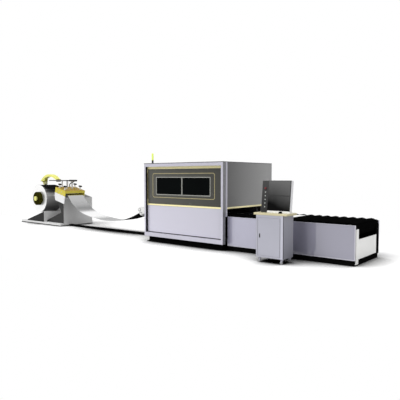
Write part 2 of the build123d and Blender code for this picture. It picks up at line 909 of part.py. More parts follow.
arm_nose = entry_roll_radius + entry_journal_radius
with BuildPart() as entry_stand:
    for side in (-1, 1):
        arm_y = line_y + side * (entry_arm_offset + entry_arm_thickness / 2)
        with BuildSketch(side_plane(arm_y - entry_arm_thickness / 2)):
            with BuildLine():
                Polyline(
                    (-half_length, pass_height + slot_height / 2 + entry_journal_radius),
                    (entry_upper[0] + arm_nose, entry_upper[1] + arm_nose),
                    (entry_upper[0] - entry_roll_radius, entry_upper[1] + entry_journal_radius),
                    (entry_lower[0] - entry_roll_radius, entry_lower[1] - entry_journal_radius),
                    (entry_lower[0], entry_lower[1] - arm_nose / 2),
                    (entry_lower[0] + arm_nose, entry_lower[1]),
                    (-half_length, pass_height - slot_height / 2),
                    close=True,
                )
            make_face()
            with Locations(entry_lower, entry_upper):
                Circle(entry_journal_radius + running_gap, mode=Mode.SUBTRACT)
        extrude(amount=-entry_arm_thickness)
        with BuildSketch(Plane.YZ.offset(-half_length)):
            with Locations((line_y + side * (entry_arm_offset + 4 * entry_arm_thickness), pass_height)):
                Rectangle(6 * entry_arm_thickness, slot_height)
        extrude(amount=-entry_arm_thickness)
    with BuildSketch(side_plane(line_y - entry_arm_offset)):
        with Locations(((entry_upper[0] - half_length) / 2, pass_height + entry_tie_lift)):
            Circle(entry_tie_radius)
    extrude(amount=-2 * entry_arm_offset)
entry_stand.part.label = "entry_stand"
export_step(entry_stand.part, "parts/entry_stand.step")

# Steel strip: off the coil, through the leveller, down in a loop, up to the entry rolls and level
with BuildPart() as steel_strip:
    with BuildSketch(side_plane(line_y - strip_width / 2)):
        with BuildLine():
            Polyline(*strip_under, *reversed(strip_over), close=True)
        make_face()
    extrude(amount=-strip_width)
steel_strip.part.label = "steel_strip"
export_step(steel_strip.part, "parts/steel_strip.step")

# Floor trunking between the decoiler and the cabin plinth
trunk_end_x = -half_length + base_inset
with BuildPart() as cable_trunking:
    with BuildSketch(Plane.YZ.offset(platform_right_x)):
        with Locations((trunk_centre_y, trunk_height / 2)):
            Rectangle(trunk_width, trunk_height)
    extrude(amount=trunk_end_x - platform_right_x)
    chamfer(cable_trunking.faces().sort_by(Axis.Z)[-1].edges().filter_by(Axis.X), length=trunk_chamfer)
cable_trunking.part.label = "cable_trunking"
export_step(cable_trunking.part, "parts/cable_trunking.step")

# Decoiler base: platform, near and far gussets, brace plate and spindle column, one weldment
platform_mid_x = (platform_left_x + platform_right_x) / 2
platform_mid_y = (platform_near_y + platform_far_y) / 2
platform_length = platform_right_x - platform_left_x
platform_width = platform_far_y - platform_near_y
brace_face_x = platform_right_x - brace_length + brace_plate
with BuildPart() as decoiler_base:
    with BuildSketch():
        with Locations((platform_mid_x, platform_mid_y)):
            Rectangle(platform_length, platform_width)
    extrude(amount=platform_height)
    with BuildSketch():
        with Locations((platform_mid_x, platform_mid_y)):
            Rectangle(platform_length - 2 * brace_plate, platform_width - 2 * brace_plate)
    extrude(amount=platform_height - platform_plate, mode=Mode.SUBTRACT)
    for gusset_y in (platform_near_y, platform_far_y - brace_plate):
        with BuildSketch(side_plane(gusset_y)):
            with BuildLine():
                Polyline(
                    (brace_face_x, platform_height),
                    (brace_face_x, brace_top_z),
                    (brace_face_x - brace_length, brace_tip_z),
                    (brace_face_x - brace_length, platform_height),
                    close=True,
                )
            make_face()
        extrude(amount=-brace_plate)
    with BuildSketch(Plane.XY.offset(platform_height)):
        with Locations((brace_face_x - brace_plate / 2, platform_mid_y)):
            Rectangle(brace_plate, platform_width - 2 * brace_plate)
    extrude(amount=brace_top_z - platform_height)
    with BuildSketch(side_plane(column_near_y)):
        with BuildLine():
            Polyline(
                (coil_x - column_foot_half, platform_height),
                (brace_face_x - brace_plate, platform_height),
                (coil_x + column_top_half, column_top_z),
                (coil_x - column_top_half, column_top_z),
                close=True,
            )
        make_face()
    extrude(amount=-(column_far_y - column_near_y))
    with BuildSketch(side_plane(column_near_y)):
        with Locations((coil_x, coil_z)):
            Circle(spindle_radius + running_gap)
    extrude(amount=-(column_far_y - column_near_y), mode=Mode.SUBTRACT)
decoiler_base.part.label = "decoiler_base"
export_step(decoiler_base.part, "parts/decoiler_base.step")

# Mandrel: slotted expanding hub, end cap, boss and spindle
coil_near_y = line_y - strip_width / 2
coil_far_y = line_y + strip_width / 2
hub_near_y = coil_near_y - hub_nose
with BuildPart() as mandrel:
    with BuildSketch(side_plane(hub_near_y)):
        with Locations((coil_x, coil_z)):
            Circle(coil_bore_radius - moving_gap)
            with PolarLocations(coil_bore_radius, hub_segments):
                Rectangle(2 * hub_slot_depth, hub_slot_width, mode=Mode.SUBTRACT)
    extrude(amount=-(coil_far_y - hub_near_y))
    with BuildSketch(side_plane(hub_near_y)):
        with Locations((coil_x, coil_z)):
            RegularPolygon(hub_cap_radius, hub_segments)
    extrude(amount=hub_cap_thickness)
    with BuildSketch(side_plane(hub_near_y - hub_cap_thickness)):
        with Locations((coil_x, coil_z)):
            Circle(boss_radius)
    extrude(amount=boss_length)
    with BuildSketch(side_plane(coil_far_y)):
        with Locations((coil_x, coil_z)):
            Circle(spindle_radius)
    extrude(amount=-(column_far_y - coil_far_y))
mandrel.part.label = "mandrel"
export_step(mandrel.part, "parts/mandrel.step")

# Coil of strip on the mandrel
with BuildPart() as steel_coil:
    with BuildSketch(side_plane(coil_near_y)):
        with Locations((coil_x, coil_z)):
            Circle(coil_radius)
            Circle(coil_bore_radius, mode=Mode.SUBTRACT)
    extrude(amount=-strip_width)
steel_coil.part.label = "steel_coil"
export_step(steel_coil.part, "parts/steel_coil.step")

# Leveller stand: near, middle and far webs under the tilted bed, and a front plate
seat_w = bed_plate_top - bed_plate_thickness
stand_front_x = platform_right_x


def seat_height(x, w):
    """Height of the tilted line w above the pass line, at x."""
    return leveller_z + (w - (x - leveller_x) * sin(radians(tilt))) / cos(radians(tilt))


stand_back_x = stand_front_x - stand_depth
stand_far_back_x = stand_front_x - stand_far_depth
near_tip_x = brace_face_x + brace_plate / 2
with BuildPart() as leveller_stand:
    with BuildSketch(side_plane(stand_near_y)):
        with BuildLine():
            Polyline(
                (stand_front_x, platform_height),
                (stand_front_x, seat_height(stand_front_x, seat_w)),
                (stand_back_x, seat_height(stand_back_x, seat_w)),
                (stand_back_x, stand_shoulder_z),
                (stand_front_x - stand_foot_depth, stand_waist_z),
                (near_tip_x, stand_gusset_tip_z),
                (near_tip_x, platform_height),
                close=True,
            )
        make_face()
    extrude(amount=-stand_plate)
    with BuildSketch(side_plane(leveller_far_y - 2 * stand_plate)):
        with BuildLine():
            Polyline(
                (stand_front_x, platform_height),
                (stand_front_x, seat_height(stand_front_x, seat_w)),
                (stand_back_x, seat_height(stand_back_x, seat_w)),
                (stand_back_x, platform_height),
                close=True,
            )
        make_face()
    extrude(amount=-stand_plate)
    with BuildSketch(side_plane(stand_far_y - stand_plate)):
        with BuildLine():
            Polyline(
                (stand_front_x, platform_height),
                (stand_front_x, seat_height(stand_front_x, stand_far_drop)),
                (stand_far_back_x, seat_height(stand_far_back_x, stand_far_drop)),
                (stand_far_back_x, platform_height),
                close=True,
            )
        make_face()
    extrude(amount=-stand_plate)
    with BuildSketch(Plane.YZ.offset(stand_front_x - stand_front_plate)):
        with BuildLine():
            Polyline(
                (stand_near_y + stand_plate, platform_height),
                (stand_far_y - stand_plate, platform_height),
                (stand_far_y - stand_plate, seat_height(stand_front_x, stand_far_drop)),
                (stand_near_y + stand_plate, seat_height(stand_front_x, stand_far_drop)),
                close=True,
            )
        make_face()
    extrude(amount=stand_front_plate)
leveller_stand.part.label = "leveller_stand"
export_step(leveller_stand.part, "parts/leveller_stand.step")

# Leveller frame: deep near cheek, shallow far cheek and the bed plate between
with BuildPart() as leveller_frame:
    with BuildSketch(tilted_plane(leveller_near_y)):
        with BuildLine():
            Polyline(
                (-leveller_half, head_bottom),
                (leveller_half, head_bottom),
                (leveller_half, cheek_bottom),
                (cheek_chamfer - leveller_half, cheek_bottom),
                (-leveller_half, cheek_bottom + 2 * cheek_chamfer),
                close=True,
            )
        make_face()
    extrude(amount=-head_plate)
    with BuildSketch(tilted_plane(leveller_far_y - head_plate)):
        with Locations((0, (head_bottom + seat_w) / 2)):
            Rectangle(2 * leveller_half, head_bottom - seat_w)
    extrude(amount=-head_plate)
    with BuildSketch(tilted_plane(leveller_near_y + head_plate)):
        with Locations((0, (bed_plate_top + seat_w) / 2)):
            Rectangle(2 * (leveller_half - head_plate), bed_plate_thickness)
    extrude(amount=-(leveller_far_y - leveller_near_y - 2 * head_plate))
leveller_frame.part.label = "leveller_frame"
export_step(leveller_frame.part, "parts/leveller_frame.step")

# Work rolls: three below and two above the strip
lower_w = -roll_radius - moving_gap
upper_w = strip_thickness + roll_radius + moving_gap
roll_places = [
    (-2 * roll_pitch, lower_w),
    (-roll_pitch, upper_w),
    (0, lower_w),
    (roll_pitch, upper_w),
    (2 * roll_pitch, lower_w),
]
roll_half = strip_width / 2 + roll_face_overhang
for number, (roll_u, roll_w) in enumerate(roll_places, start=1):
    with BuildPart() as work_roll:
        with BuildSketch(tilted_plane(leveller_near_y)):
            with Locations((roll_u, roll_w)):
                Circle(roll_journal_radius)
        extrude(amount=-(leveller_far_y - leveller_near_y))
        with BuildSketch(tilted_plane(line_y - roll_half)):
            with Locations((roll_u, roll_w)):
                Circle(roll_radius)
        extrude(amount=-2 * roll_half)
    work_roll.part.label = f"leveller_roll_{number}"
    export_step(work_roll.part, f"parts/leveller_roll_{number}.step")

# Leveller head: a bridge casting open below, with roll journals bored through its sides
with BuildPart() as leveller_head:
    with BuildSketch(tilted_plane(leveller_near_y)):
        with Locations((0, (head_top + head_bottom) / 2)):
            Rectangle(2 * leveller_half, head_top - head_bottom)
    extrude(amount=-(leveller_far_y - leveller_near_y))
    with BuildSketch(tilted_plane(leveller_near_y + head_plate)):
        with Locations((0, (head_top - head_roof + head_bottom) / 2)):
            Rectangle(2 * (leveller_half - head_roof), head_top - head_roof - head_bottom)
        with Locations((0, (head_strip_slot_top + head_bottom) / 2)):
            Rectangle(2 * leveller_half, head_strip_slot_top - head_bottom)
    extrude(amount=-(leveller_far_y - leveller_near_y - 2 * head_plate), mode=Mode.SUBTRACT)
    with BuildSketch(tilted_plane(leveller_near_y)):
        with Locations(*roll_places):
            Circle(roll_journal_radius + running_gap)
    extrude(amount=-(leveller_far_y - leveller_near_y), mode=Mode.SUBTRACT)
leveller_head.part.label = "leveller_head"
export_step(leveller_head.part, "parts/leveller_head.step")

# Adjusting handwheels on top of the head
screw_places = [
    (screw_back_u, screw_near_y),
    (screw_front_u, screw_near_y),
    (screw_back_u, screw_far_y),
    (screw_front_u, screw_far_y),
]
for number, (screw_u, screw_y) in enumerate(screw_places, start=1):
    screw_foot = leveller_point(screw_u, head_top + moving_gap, screw_y)
    screw_plane = Plane(
        origin=screw_foot,
        x_dir=(0, 1, 0),
        z_dir=(sin(radians(tilt)), 0, cos(radians(tilt))),
    )
    with BuildPart() as handwheel:
        with BuildSketch(screw_plane):
            Circle(screw_radius)
        extrude(amount=screw_height)
        with BuildSketch(screw_plane.offset(screw_height)):
            Circle(knob_radius)
        extrude(amount=knob_height)
    handwheel.part.label = f"handwheel_{number}"
    export_step(handwheel.part, f"parts/handwheel_{number}.step")

# Hold-down arm: arched box arm with a pivot boss and two roller ears
press_reach = coil_radius + press_roller_radius + moving_gap
press_x = coil_x + press_reach * cos(radians(press_roller_angle))
press_z = coil_z + press_reach * sin(radians(press_roller_angle))
ear_offset = press_roller_width / 2 + moving_gap
with BuildPart() as hold_down_arm:
    with BuildSketch(side_plane(line_y - arm_half_width)):
        with BuildLine():
            ThreePointArc(
                (pivot_x, pivot_z + arm_depth / 3),
                (arm_crown_x, arm_crown_z),
                (arm_left_x, arm_left_z),
            )
            Line((arm_left_x, arm_left_z), (arm_left_x + arm_depth, arm_left_z))
            ThreePointArc(
                (arm_left_x + arm_depth, arm_left_z),
                (arm_crown_x, arm_crown_z - arm_depth),
                (pivot_x - arm_depth / 3, pivot_z),
            )
            Line((pivot_x - arm_depth / 3, pivot_z), (pivot_x, pivot_z + arm_depth / 3))
        make_face()
        with Locations((pivot_x, pivot_z)):
            Circle(arm_boss_radius)
            Circle(pivot_radius + running_gap, mode=Mode.SUBTRACT)
    extrude(amount=-2 * arm_half_width)
    for side in (-1, 1):
        ear_y = line_y + side * (ear_offset + press_ear_thickness / 2)
        with BuildSketch(side_plane(ear_y - press_ear_thickness / 2)):
            with BuildLine():
                Polyline(
                    (arm_left_x + arm_depth / 2, arm_left_z + arm_depth / 2),
                    (press_x - 2 * press_axle_radius, press_z),
                    (press_x, press_z - 2 * press_axle_radius),
                    (press_x + 2 * press_axle_radius, press_z),
                    (press_x + arm_depth, arm_crown_z - arm_depth),
                    (arm_left_x + arm_depth, arm_left_z + arm_depth),
                    close=True,
                )
            make_face()
            with Locations((press_x, press_z)):
                Circle(press_axle_radius + running_gap, mode=Mode.SUBTRACT)
        extrude(amount=-press_ear_thickness)
hold_down_arm.part.label = "hold_down_arm"
export_step(hold_down_arm.part, "parts/hold_down_arm.step")

with BuildPart() as press_roller:
    with BuildSketch(side_plane(line_y - press_roller_width / 2)):
        with Locations((press_x, press_z)):
            Circle(press_roller_radius)
    extrude(amount=-press_roller_width)
    with BuildSketch(side_plane(line_y - ear_offset - press_ear_thickness)):
        with Locations((press_x, press_z)):
            Circle(press_axle_radius)
    extrude(amount=-2 * (ear_offset + press_ear_thickness))
press_roller.part.label = "press_roller"
export_step(press_roller.part, "parts/press_roller.step")

# Arm beam: twin bars with the pivot pin, posts to the head and the actuator barrel
with BuildPart() as arm_beam:
    for side in (-1, 1):
        with BuildSketch(Plane.YZ.offset(beam_left_x)):
            with Locations((line_y + side * beam_offset, pivot_z)):
                Rectangle(beam_bar, beam_bar)
        extrude(amount=beam_right_x - beam_left_x)
        for post_x in (beam_post_back_x, beam_post_front_x):
            post_foot_z = seat_height(post_x + beam_bar / 2, head_top)
            with BuildSketch(side_plane(line_y + side * beam_offset - beam_bar / 2)):
                with BuildLine():
                    Polyline(
                        (post_x - beam_bar / 2, pivot_z),
                        (post_x - beam_bar / 2, seat_height(post_x - beam_bar / 2, head_top)),
                        (post_x + beam_bar / 2, post_foot_z),
                        (post_x + beam_bar / 2, pivot_z),
                        close=True,
                    )
                make_face()
            extrude(amount=-beam_bar)
    with BuildSketch(Plane.YZ.offset(beam_right_x - beam_cross_length)):
        with Locations((line_y, pivot_z)):
            Rectangle(2 * beam_offset + beam_bar, beam_bar)
    extrude(amount=beam_cross_length)
    with BuildSketch(Plane.YZ.offset(beam_right_x)):
        with Locations((line_y, pivot_z)):
            Circle(actuator_radius)
    extrude(amount=actuator_length)
    with BuildSketch(side_plane(line_y - beam_offset)):
        with Locations((pivot_x, pivot_z)):
            Circle(pivot_radius)
    extrude(amount=-2 * beam_offset)
arm_beam.part.label = "arm_beam"
export_step(arm_beam.part, "parts/arm_beam.step")

# Console cabinet: open-fronted box with caster forks under it
console_front_y = console_y - console_depth / 2
console_left_x = console_x - console_width / 2
console_right_x = console_x + console_width / 2
door_left_x = console_left_x + door_left_margin
door_right_x = console_right_x - door_hinge_margin
door_bottom_z = console_bottom + door_bottom_margin
door_top_z = console_top - door_top_margin
door_mid_x = (door_left_x + door_right_x) / 2
door_mid_z = (door_bottom_z + door_top_z) / 2
hole_left_x = door_left_x - door_gap
hole_right_x = door_right_x + door_hinge_gap
hole_bottom_z = door_bottom_z - door_gap
hole_top_z = door_top_z + door_gap
hinge_x = door_right_x - door_thickness / 2
hinge_y = console_front_y + door_thickness / 2
caster_places = [
    (console_x - caster_x, console_y - caster_y),
    (console_x + caster_x, console_y - caster_y),
    (console_x - caster_x, console_y + caster_y),
    (console_x + caster_x, console_y + caster_y),
]
fork_inner = caster_width / 2 + caster_side_gap
with BuildPart() as console_cabinet:
    with BuildSketch(Plane.XY.offset(console_bottom)):
        with Locations((console_x, console_y)):
            Rectangle(console_width, console_depth)
    extrude(amount=console_top - console_bottom)
    with BuildSketch(Plane.XY.offset(console_bottom + console_wall)):
        with Locations((console_x, console_y + door_thickness / 2)):
            Rectangle(
                console_width - 2 * console_wall,
                console_depth - 2 * console_wall - door_thickness,
            )
    extrude(amount=console_top - console_bottom - 2 * console_wall, mode=Mode.SUBTRACT)
    with BuildSketch(side_plane(console_front_y)):
        with Locations(((hole_left_x + hole_right_x) / 2, (hole_bottom_z + hole_top_z) / 2)):
            Rectangle(hole_right_x - hole_left_x, hole_top_z - hole_bottom_z)
    extrude(amount=-2 * door_thickness - console_wall, mode=Mode.SUBTRACT)
    with BuildSketch(Plane.XY.offset(hole_bottom_z - door_pin_length)):
        with Locations((hinge_x, hinge_y)):
            Circle(door_pin_radius + running_gap)
    extrude(amount=hole_top_z - hole_bottom_z + 2 * door_pin_length, mode=Mode.SUBTRACT)
    for fork_x, fork_y in caster_places:
        with BuildSketch(Plane.XY.offset(console_bottom)):
            with Locations((fork_x + caster_trail, fork_y)):
                Rectangle(2 * caster_radius, 2 * (fork_inner + caster_ear))
        extrude(amount=-caster_plate)
        for side in (-1, 1):
            ear_near = fork_y + side * (fork_inner + caster_ear / 2) - caster_ear / 2
            with BuildSketch(side_plane(ear_near)):
                with BuildLine():
                    Polyline(
                        (fork_x + caster_trail + caster_radius, console_bottom - caster_plate),
                        (fork_x + caster_trail - caster_radius, console_bottom - caster_plate),
                        (fork_x - 2 * caster_axle_radius, caster_radius),
                        (fork_x, caster_radius - 2 * caster_axle_radius),
                        (fork_x + 2 * caster_axle_radius, caster_radius),
                        close=True,
                    )
                make_face()
            extrude(amount=-caster_ear)
        with BuildSketch(side_plane(fork_y - fork_inner)):
            with Locations((fork_x, caster_radius)):
                Circle(caster_axle_radius)
        extrude(amount=-2 * fork_inner)
console_cabinet.part.label = "console_cabinet"
export_step(console_cabinet.part, "parts/console_cabinet.step")

# Console door with a recessed pull and two pivot pins
with BuildPart() as console_door:
    with BuildSketch(side_plane(console_front_y)):
        with Locations((door_mid_x, door_mid_z)):
            Rectangle(door_right_x - door_left_x, door_top_z - door_bottom_z)
    extrude(amount=-door_thickness)
    with BuildSketch(side_plane(console_front_y)):
        with Locations((door_left_x + pull_from_edge, door_mid_z + pull_lift)):
            SlotOverall(pull_height, pull_width, rotation=90)
    extrude(amount=-pull_depth, mode=Mode.SUBTRACT)
    with BuildSketch(Plane.XY.offset(door_top_z)):
        with Locations((hinge_x, hinge_y)):
            Circle(door_pin_radius)
    extrude(amount=door_pin_length)
    with BuildSketch(Plane.XY.offset(door_bottom_z)):
        with Locations((hinge_x, hinge_y)):
            Circle(door_pin_radius)
    extrude(amount=-door_pin_length)
console_door.part.label = "console_door"
export_step(console_door.part, "parts/console_door.step")

# Desk top
desk_left_x = console_left_x - desk_side_overhang
desk_right_x = console_right_x + desk_right_overhang
desk_near_y = console_front_y - desk_front_overhang
desk_back_y = console_y + console_depth / 2 + desk_back_overhang
desk_top_z = console_top + desk_thickness
with BuildPart() as desk_top:
    with BuildSketch(Plane.XY.offset(console_top)):
        with Locations(((desk_left_x + desk_right_x) / 2, (desk_near_y + desk_back_y) / 2)):
            Rectangle(desk_right_x - desk_left_x, desk_back_y - desk_near_y)
    extrude(amount=desk_thickness)
    chamfer(desk_top.edges().filter_by(Axis.Z), length=2 * desk_edge)
    chamfer(desk_top.faces().sort_by(Axis.Z)[-1].edges(), length=desk_edge)
desk_top.part.label = "desk_top"
export_step(desk_top.part, "parts/desk_top.step")

# Control housing, leaning back, with two screen recesses and bored button seats
lean_out = (0, -cos(radians(lean)), sin(radians(lean)))
housing_plane = Plane(
    origin=(console_left_x + housing_inset, housing_front_y, desk_top_z),
    x_dir=(1, 0, 0),
    z_dir=lean_out,
)
button_heights = [button_first + button_pitch * step for step in range(button_count)]
button_spots = [(control_strip_x, height) for height in button_heights]
estop_spot = (control_strip_x, estop_height)
housing_drop = housing_depth * tan(radians(lean))
with BuildPart() as control_housing:
    with BuildSketch(housing_plane):
        with Locations((housing_width / 2, (housing_height - housing_drop) / 2)):
            Rectangle(housing_width, housing_height + housing_drop)
    extrude(amount=-housing_depth)
    chamfer(control_housing.faces().sort_by(Axis.Z)[-1].edges(), length=housing_edge)
    with BuildSketch(housing_plane):
        with Locations((screen_left + screen_width / 2, lower_screen_bottom + lower_screen_height / 2)):
            Rectangle(screen_width, lower_screen_height)
        with Locations((screen_left + screen_width / 2, upper_screen_bottom + upper_screen_height / 2)):
            Rectangle(screen_width, upper_screen_height)
    extrude(amount=-screen_recess, mode=Mode.SUBTRACT)
    with BuildSketch(housing_plane):
        with Locations(*button_spots):
            Circle(button_radius + moving_gap)
    extrude(amount=-(button_inside + button_travel + bore_floor_gap), mode=Mode.SUBTRACT)
    with BuildSketch(housing_plane):
        with Locations(estop_spot):
            Circle(estop_stem_radius + moving_gap)
    extrude(amount=-(button_inside + estop_travel + bore_floor_gap), mode=Mode.SUBTRACT)
    split(bisect_by=Plane.XY.offset(desk_top_z), keep=Keep.TOP)
control_housing.part.label = "control_housing"
export_step(control_housing.part, "parts/control_housing.step")

# Push buttons and the emergency stop
for number, spot in enumerate(button_spots, start=1):
    with BuildPart() as push_button:
        with BuildSketch(housing_plane.offset(button_proud)):
            with Locations(spot):
                Circle(button_radius)
        extrude(amount=-(button_proud + button_inside))
    push_button.part.label = f"push_button_{number}"
    export_step(push_button.part, f"parts/push_button_{number}.step")

with BuildPart() as estop_button:
    with BuildSketch(housing_plane.offset(estop_reach)):
        with Locations(estop_spot):
            Circle(estop_stem_radius)
    extrude(amount=-(estop_reach + button_inside))
    with BuildSketch(housing_plane.offset(estop_reach)):
        with Locations(estop_spot):
            Circle(estop_head_radius)
    extrude(amount=estop_head_height)
    chamfer(estop_button.faces().sort_by(Axis.Y)[0].edges(), length=estop_head_height / 3)
estop_button.part.label = "estop_button"
export_step(estop_button.part, "parts/estop_button.step")

# Mouse on the desk: a low tapered shell
with BuildPart() as mouse:
    with BuildSketch(Plane.XY.offset(desk_top_z)):
        with Locations((mouse_x, mouse_y)):
            RectangleRounded(mouse_width, mouse_length, mouse_corner)
    extrude(amount=mouse_height, taper=mouse_taper)
mouse.part.label = "mouse"
export_step(mouse.part, "parts/mouse.step")

# Caster wheels
for number, (wheel_x, wheel_y) in enumerate(caster_places, start=1):
    with BuildPart() as caster_wheel:
        with BuildSketch(side_plane(wheel_y - caster_width / 2)):
            with Locations((wheel_x, caster_radius)):
                Circle(caster_radius)
                Circle(caster_axle_radius + running_gap, mode=Mode.SUBTRACT)
        extrude(amount=-caster_width)
    caster_wheel.part.label = f"caster_wheel_{number}"
    export_step(caster_wheel.part, f"parts/caster_wheel_{number}.step")
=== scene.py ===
"""Dresses the packed fiber laser cutting line: finishes, small detail pieces, stage and camera."""

import math

import bmesh
import bpy
from mathutils import Euler, Matrix, Vector


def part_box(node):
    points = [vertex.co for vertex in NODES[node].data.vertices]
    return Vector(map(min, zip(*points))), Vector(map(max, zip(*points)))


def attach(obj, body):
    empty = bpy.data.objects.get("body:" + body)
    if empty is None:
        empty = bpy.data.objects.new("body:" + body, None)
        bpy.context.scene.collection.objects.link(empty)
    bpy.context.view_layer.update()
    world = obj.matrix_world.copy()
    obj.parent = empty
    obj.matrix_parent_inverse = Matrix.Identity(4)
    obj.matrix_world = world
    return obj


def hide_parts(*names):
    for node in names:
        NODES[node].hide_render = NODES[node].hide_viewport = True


bl_info = {
    "name": "Fiber laser cutting line",
    "version": (1, 0, 0),
    "blender": (4, 5, 0),
    "location": "View3D > Sidebar > Laser line",
    "description": "Dresses the packed laser cutting line with finishes and detail pieces",
    "category": "Object",
}

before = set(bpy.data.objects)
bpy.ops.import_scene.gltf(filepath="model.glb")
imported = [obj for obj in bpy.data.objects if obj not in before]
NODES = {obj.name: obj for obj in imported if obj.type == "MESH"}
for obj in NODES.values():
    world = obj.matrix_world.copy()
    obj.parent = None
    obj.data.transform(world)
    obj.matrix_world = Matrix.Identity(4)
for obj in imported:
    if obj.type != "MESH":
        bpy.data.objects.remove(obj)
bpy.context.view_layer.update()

# Clearances in metres: a thin piece from a face, and the depth of a mask that tints one face
HAIR = 0.0005
SKIN = 0.0015

# Sizes of the CAD that masks and pieces are set against, in metres
LINE_Y = -0.214

CABIN_HALF = 1.386
POST_INNER = 1.326
FRAME_INNER_BOTTOM = 0.268
FRAME_INNER_TOP = 2.100
COVER_Y = -1.071
LIP_Y = -1.044

COIL_X = -7.95
COIL_Z = 0.985
COIL_RADIUS = 0.525
MOVING_GAP = 0.0003
PLATFORM_GUSSETS_Y = (-0.577, 0.809)
PIVOT_X = -7.11
PIVOT_Z = 1.68

TILT = math.radians(13)
LEVELLER_X = -6.435
LEVELLER_Z = 1.249
LEVELLER_HALF = 0.32
HEAD_TOP = 0.130
HEAD_END = 0.326
STAND_FRONT_X = -6.440
STAND_NEAR_WEB_Y = -0.431
BEAM_BOTTOM = 1.662
SCREWS_ALONG = (-0.210, 0.130)
SCREWS_ACROSS = (-0.497, 0.153)

STRIP_THICKNESS = 0.003
STRIP_END_X = 2.97
PASS_HEIGHT = 0.885
FEED_BEND = 0.04
ENTRY_ROLLS = ((-2.1423, 0.704328), (-2.203576, 0.823048))

CONSOLE_X = 3.031
CONSOLE_HALF = 0.325
CONSOLE_BOTTOM = 0.110
CONSOLE_FRONT = -1.725
LEAN = math.radians(6)
HOUSING_X = 2.718
HOUSING_Y = -1.551
HOUSING_Z = 1.061

HEAD_UP = Vector((math.sin(TILT), 0, math.cos(TILT)))
HOUSING = Matrix.Translation((HOUSING_X, HOUSING_Y, HOUSING_Z)) @ Matrix((
    (1, 0, 0),
    (0, math.sin(LEAN), -math.cos(LEAN)),
    (0, math.cos(LEAN), math.sin(LEAN)),
)).to_4x4()

# Bends of the strip's loop: turn in degrees and radius; and the turn from station to station
LOOP_BENDS = ((-37.5, 0.272), (37.0, 1.627), (11.5, 6.04), (29.3, 3.5))
BEND_STEP = 0.8

# Painted shade and reflection along the strip, and how much of it reflects as metal, by x
STRIP_REACH = (-8.0, 3.0)
STRIP_PAINTED_SHADE = (
    (-8.0, 0.03), (-6.8, 0.02), (-6.4, 0.48), (-6.0, 0.46), (-5.7, 0.38), (-5.52, 0.20),
    (-5.37, 0.30), (-5.19, 0.97), (-4.75, 0.97), (-4.3, 0.40), (-3.5, 0.48), (-2.9, 0.8),
    (-1.4, 0.75), (3.0, 0.9),
)
STRIP_METAL = (
    (-5.85, 1.0), (-5.6, 0.0), (-5.45, 0.0), (-5.25, 1.0), (-4.75, 1.0), (-4.3, 0.0),
    (-3.3, 0.1), (-2.7, 1.0),
)

# Painted reflection and shade round the outside of the coil, by share of a full turn
COIL_PAINTED_BANDS = (
    (0.0, 0.10), (0.25, 0.03), (0.40, 0.05), (0.44, 0.16), (0.47, 0.34), (0.50, 0.50),
    (0.525, 0.60), (0.535, 1.0), (0.565, 1.0), (0.58, 0.45), (0.60, 0.22), (0.615, 0.50),
    (0.63, 0.16), (0.66, 0.30), (0.69, 0.05), (0.75, 0.01), (0.85, 0.05), (1.0, 0.10),
)

# Light and camera: heading, angle in degrees and strength of each sun
SUNS = {
    "key_sun": ((0.28, 0.62, -0.73), 40.0, 2.35),
    "side_sun": ((-0.86, 0.1, -0.5), 60.0, 0.75),
}
SOFT_LIGHT = 0.42
CAMERA_PLACE = (7.823, -9.784, 1.825)
CAMERA_TURN = (86.99, 0.0, 39.66)
CAMERA_LENS = 39.87
CAMERA_SENSOR = 36.0


# Colours


def tone(*parts):
    """Linear colour of an 8-bit screen colour."""
    return tuple(((part / 255 + 0.055) / 1.055) ** 2.4 for part in parts)


def grey(level):
    """Linear colour with the same level in all three parts."""
    return (level, level, level)


def scaled(colour, *factors):
    """Colour times one factor, or times one factor for each part."""
    if len(factors) == 1:
        factors *= 3
    return tuple(part * factor for part, factor in zip(colour, factors))


# Shader maths


class Mix:
    """Wraps a node socket so that maths on it reads as an expression."""

    def __init__(self, finish, socket):
        self.finish = finish
        self.socket = socket

    def maths(self, operation, *values):
        return self.finish.maths(operation, *values)

    def __add__(self, other):
        return self.maths("ADD", self, other)

    __radd__ = __add__

    def __sub__(self, other):
        return self.maths("SUBTRACT", self, other)

    def __rsub__(self, other):
        return self.maths("SUBTRACT", other, self)

    def __mul__(self, other):
        return self.maths("MULTIPLY", self, other)

    __rmul__ = __mul__

    def __lt__(self, other):
        return self.maths("LESS_THAN", self, other)

    def __gt__(self, other):
        return self.maths("GREATER_THAN", self, other)

    def __abs__(self):
        return self.maths("ABSOLUTE", self)

    def within(self, low, high):
        """1 between the two limits, else 0."""
        return (self > low) * (self < high)


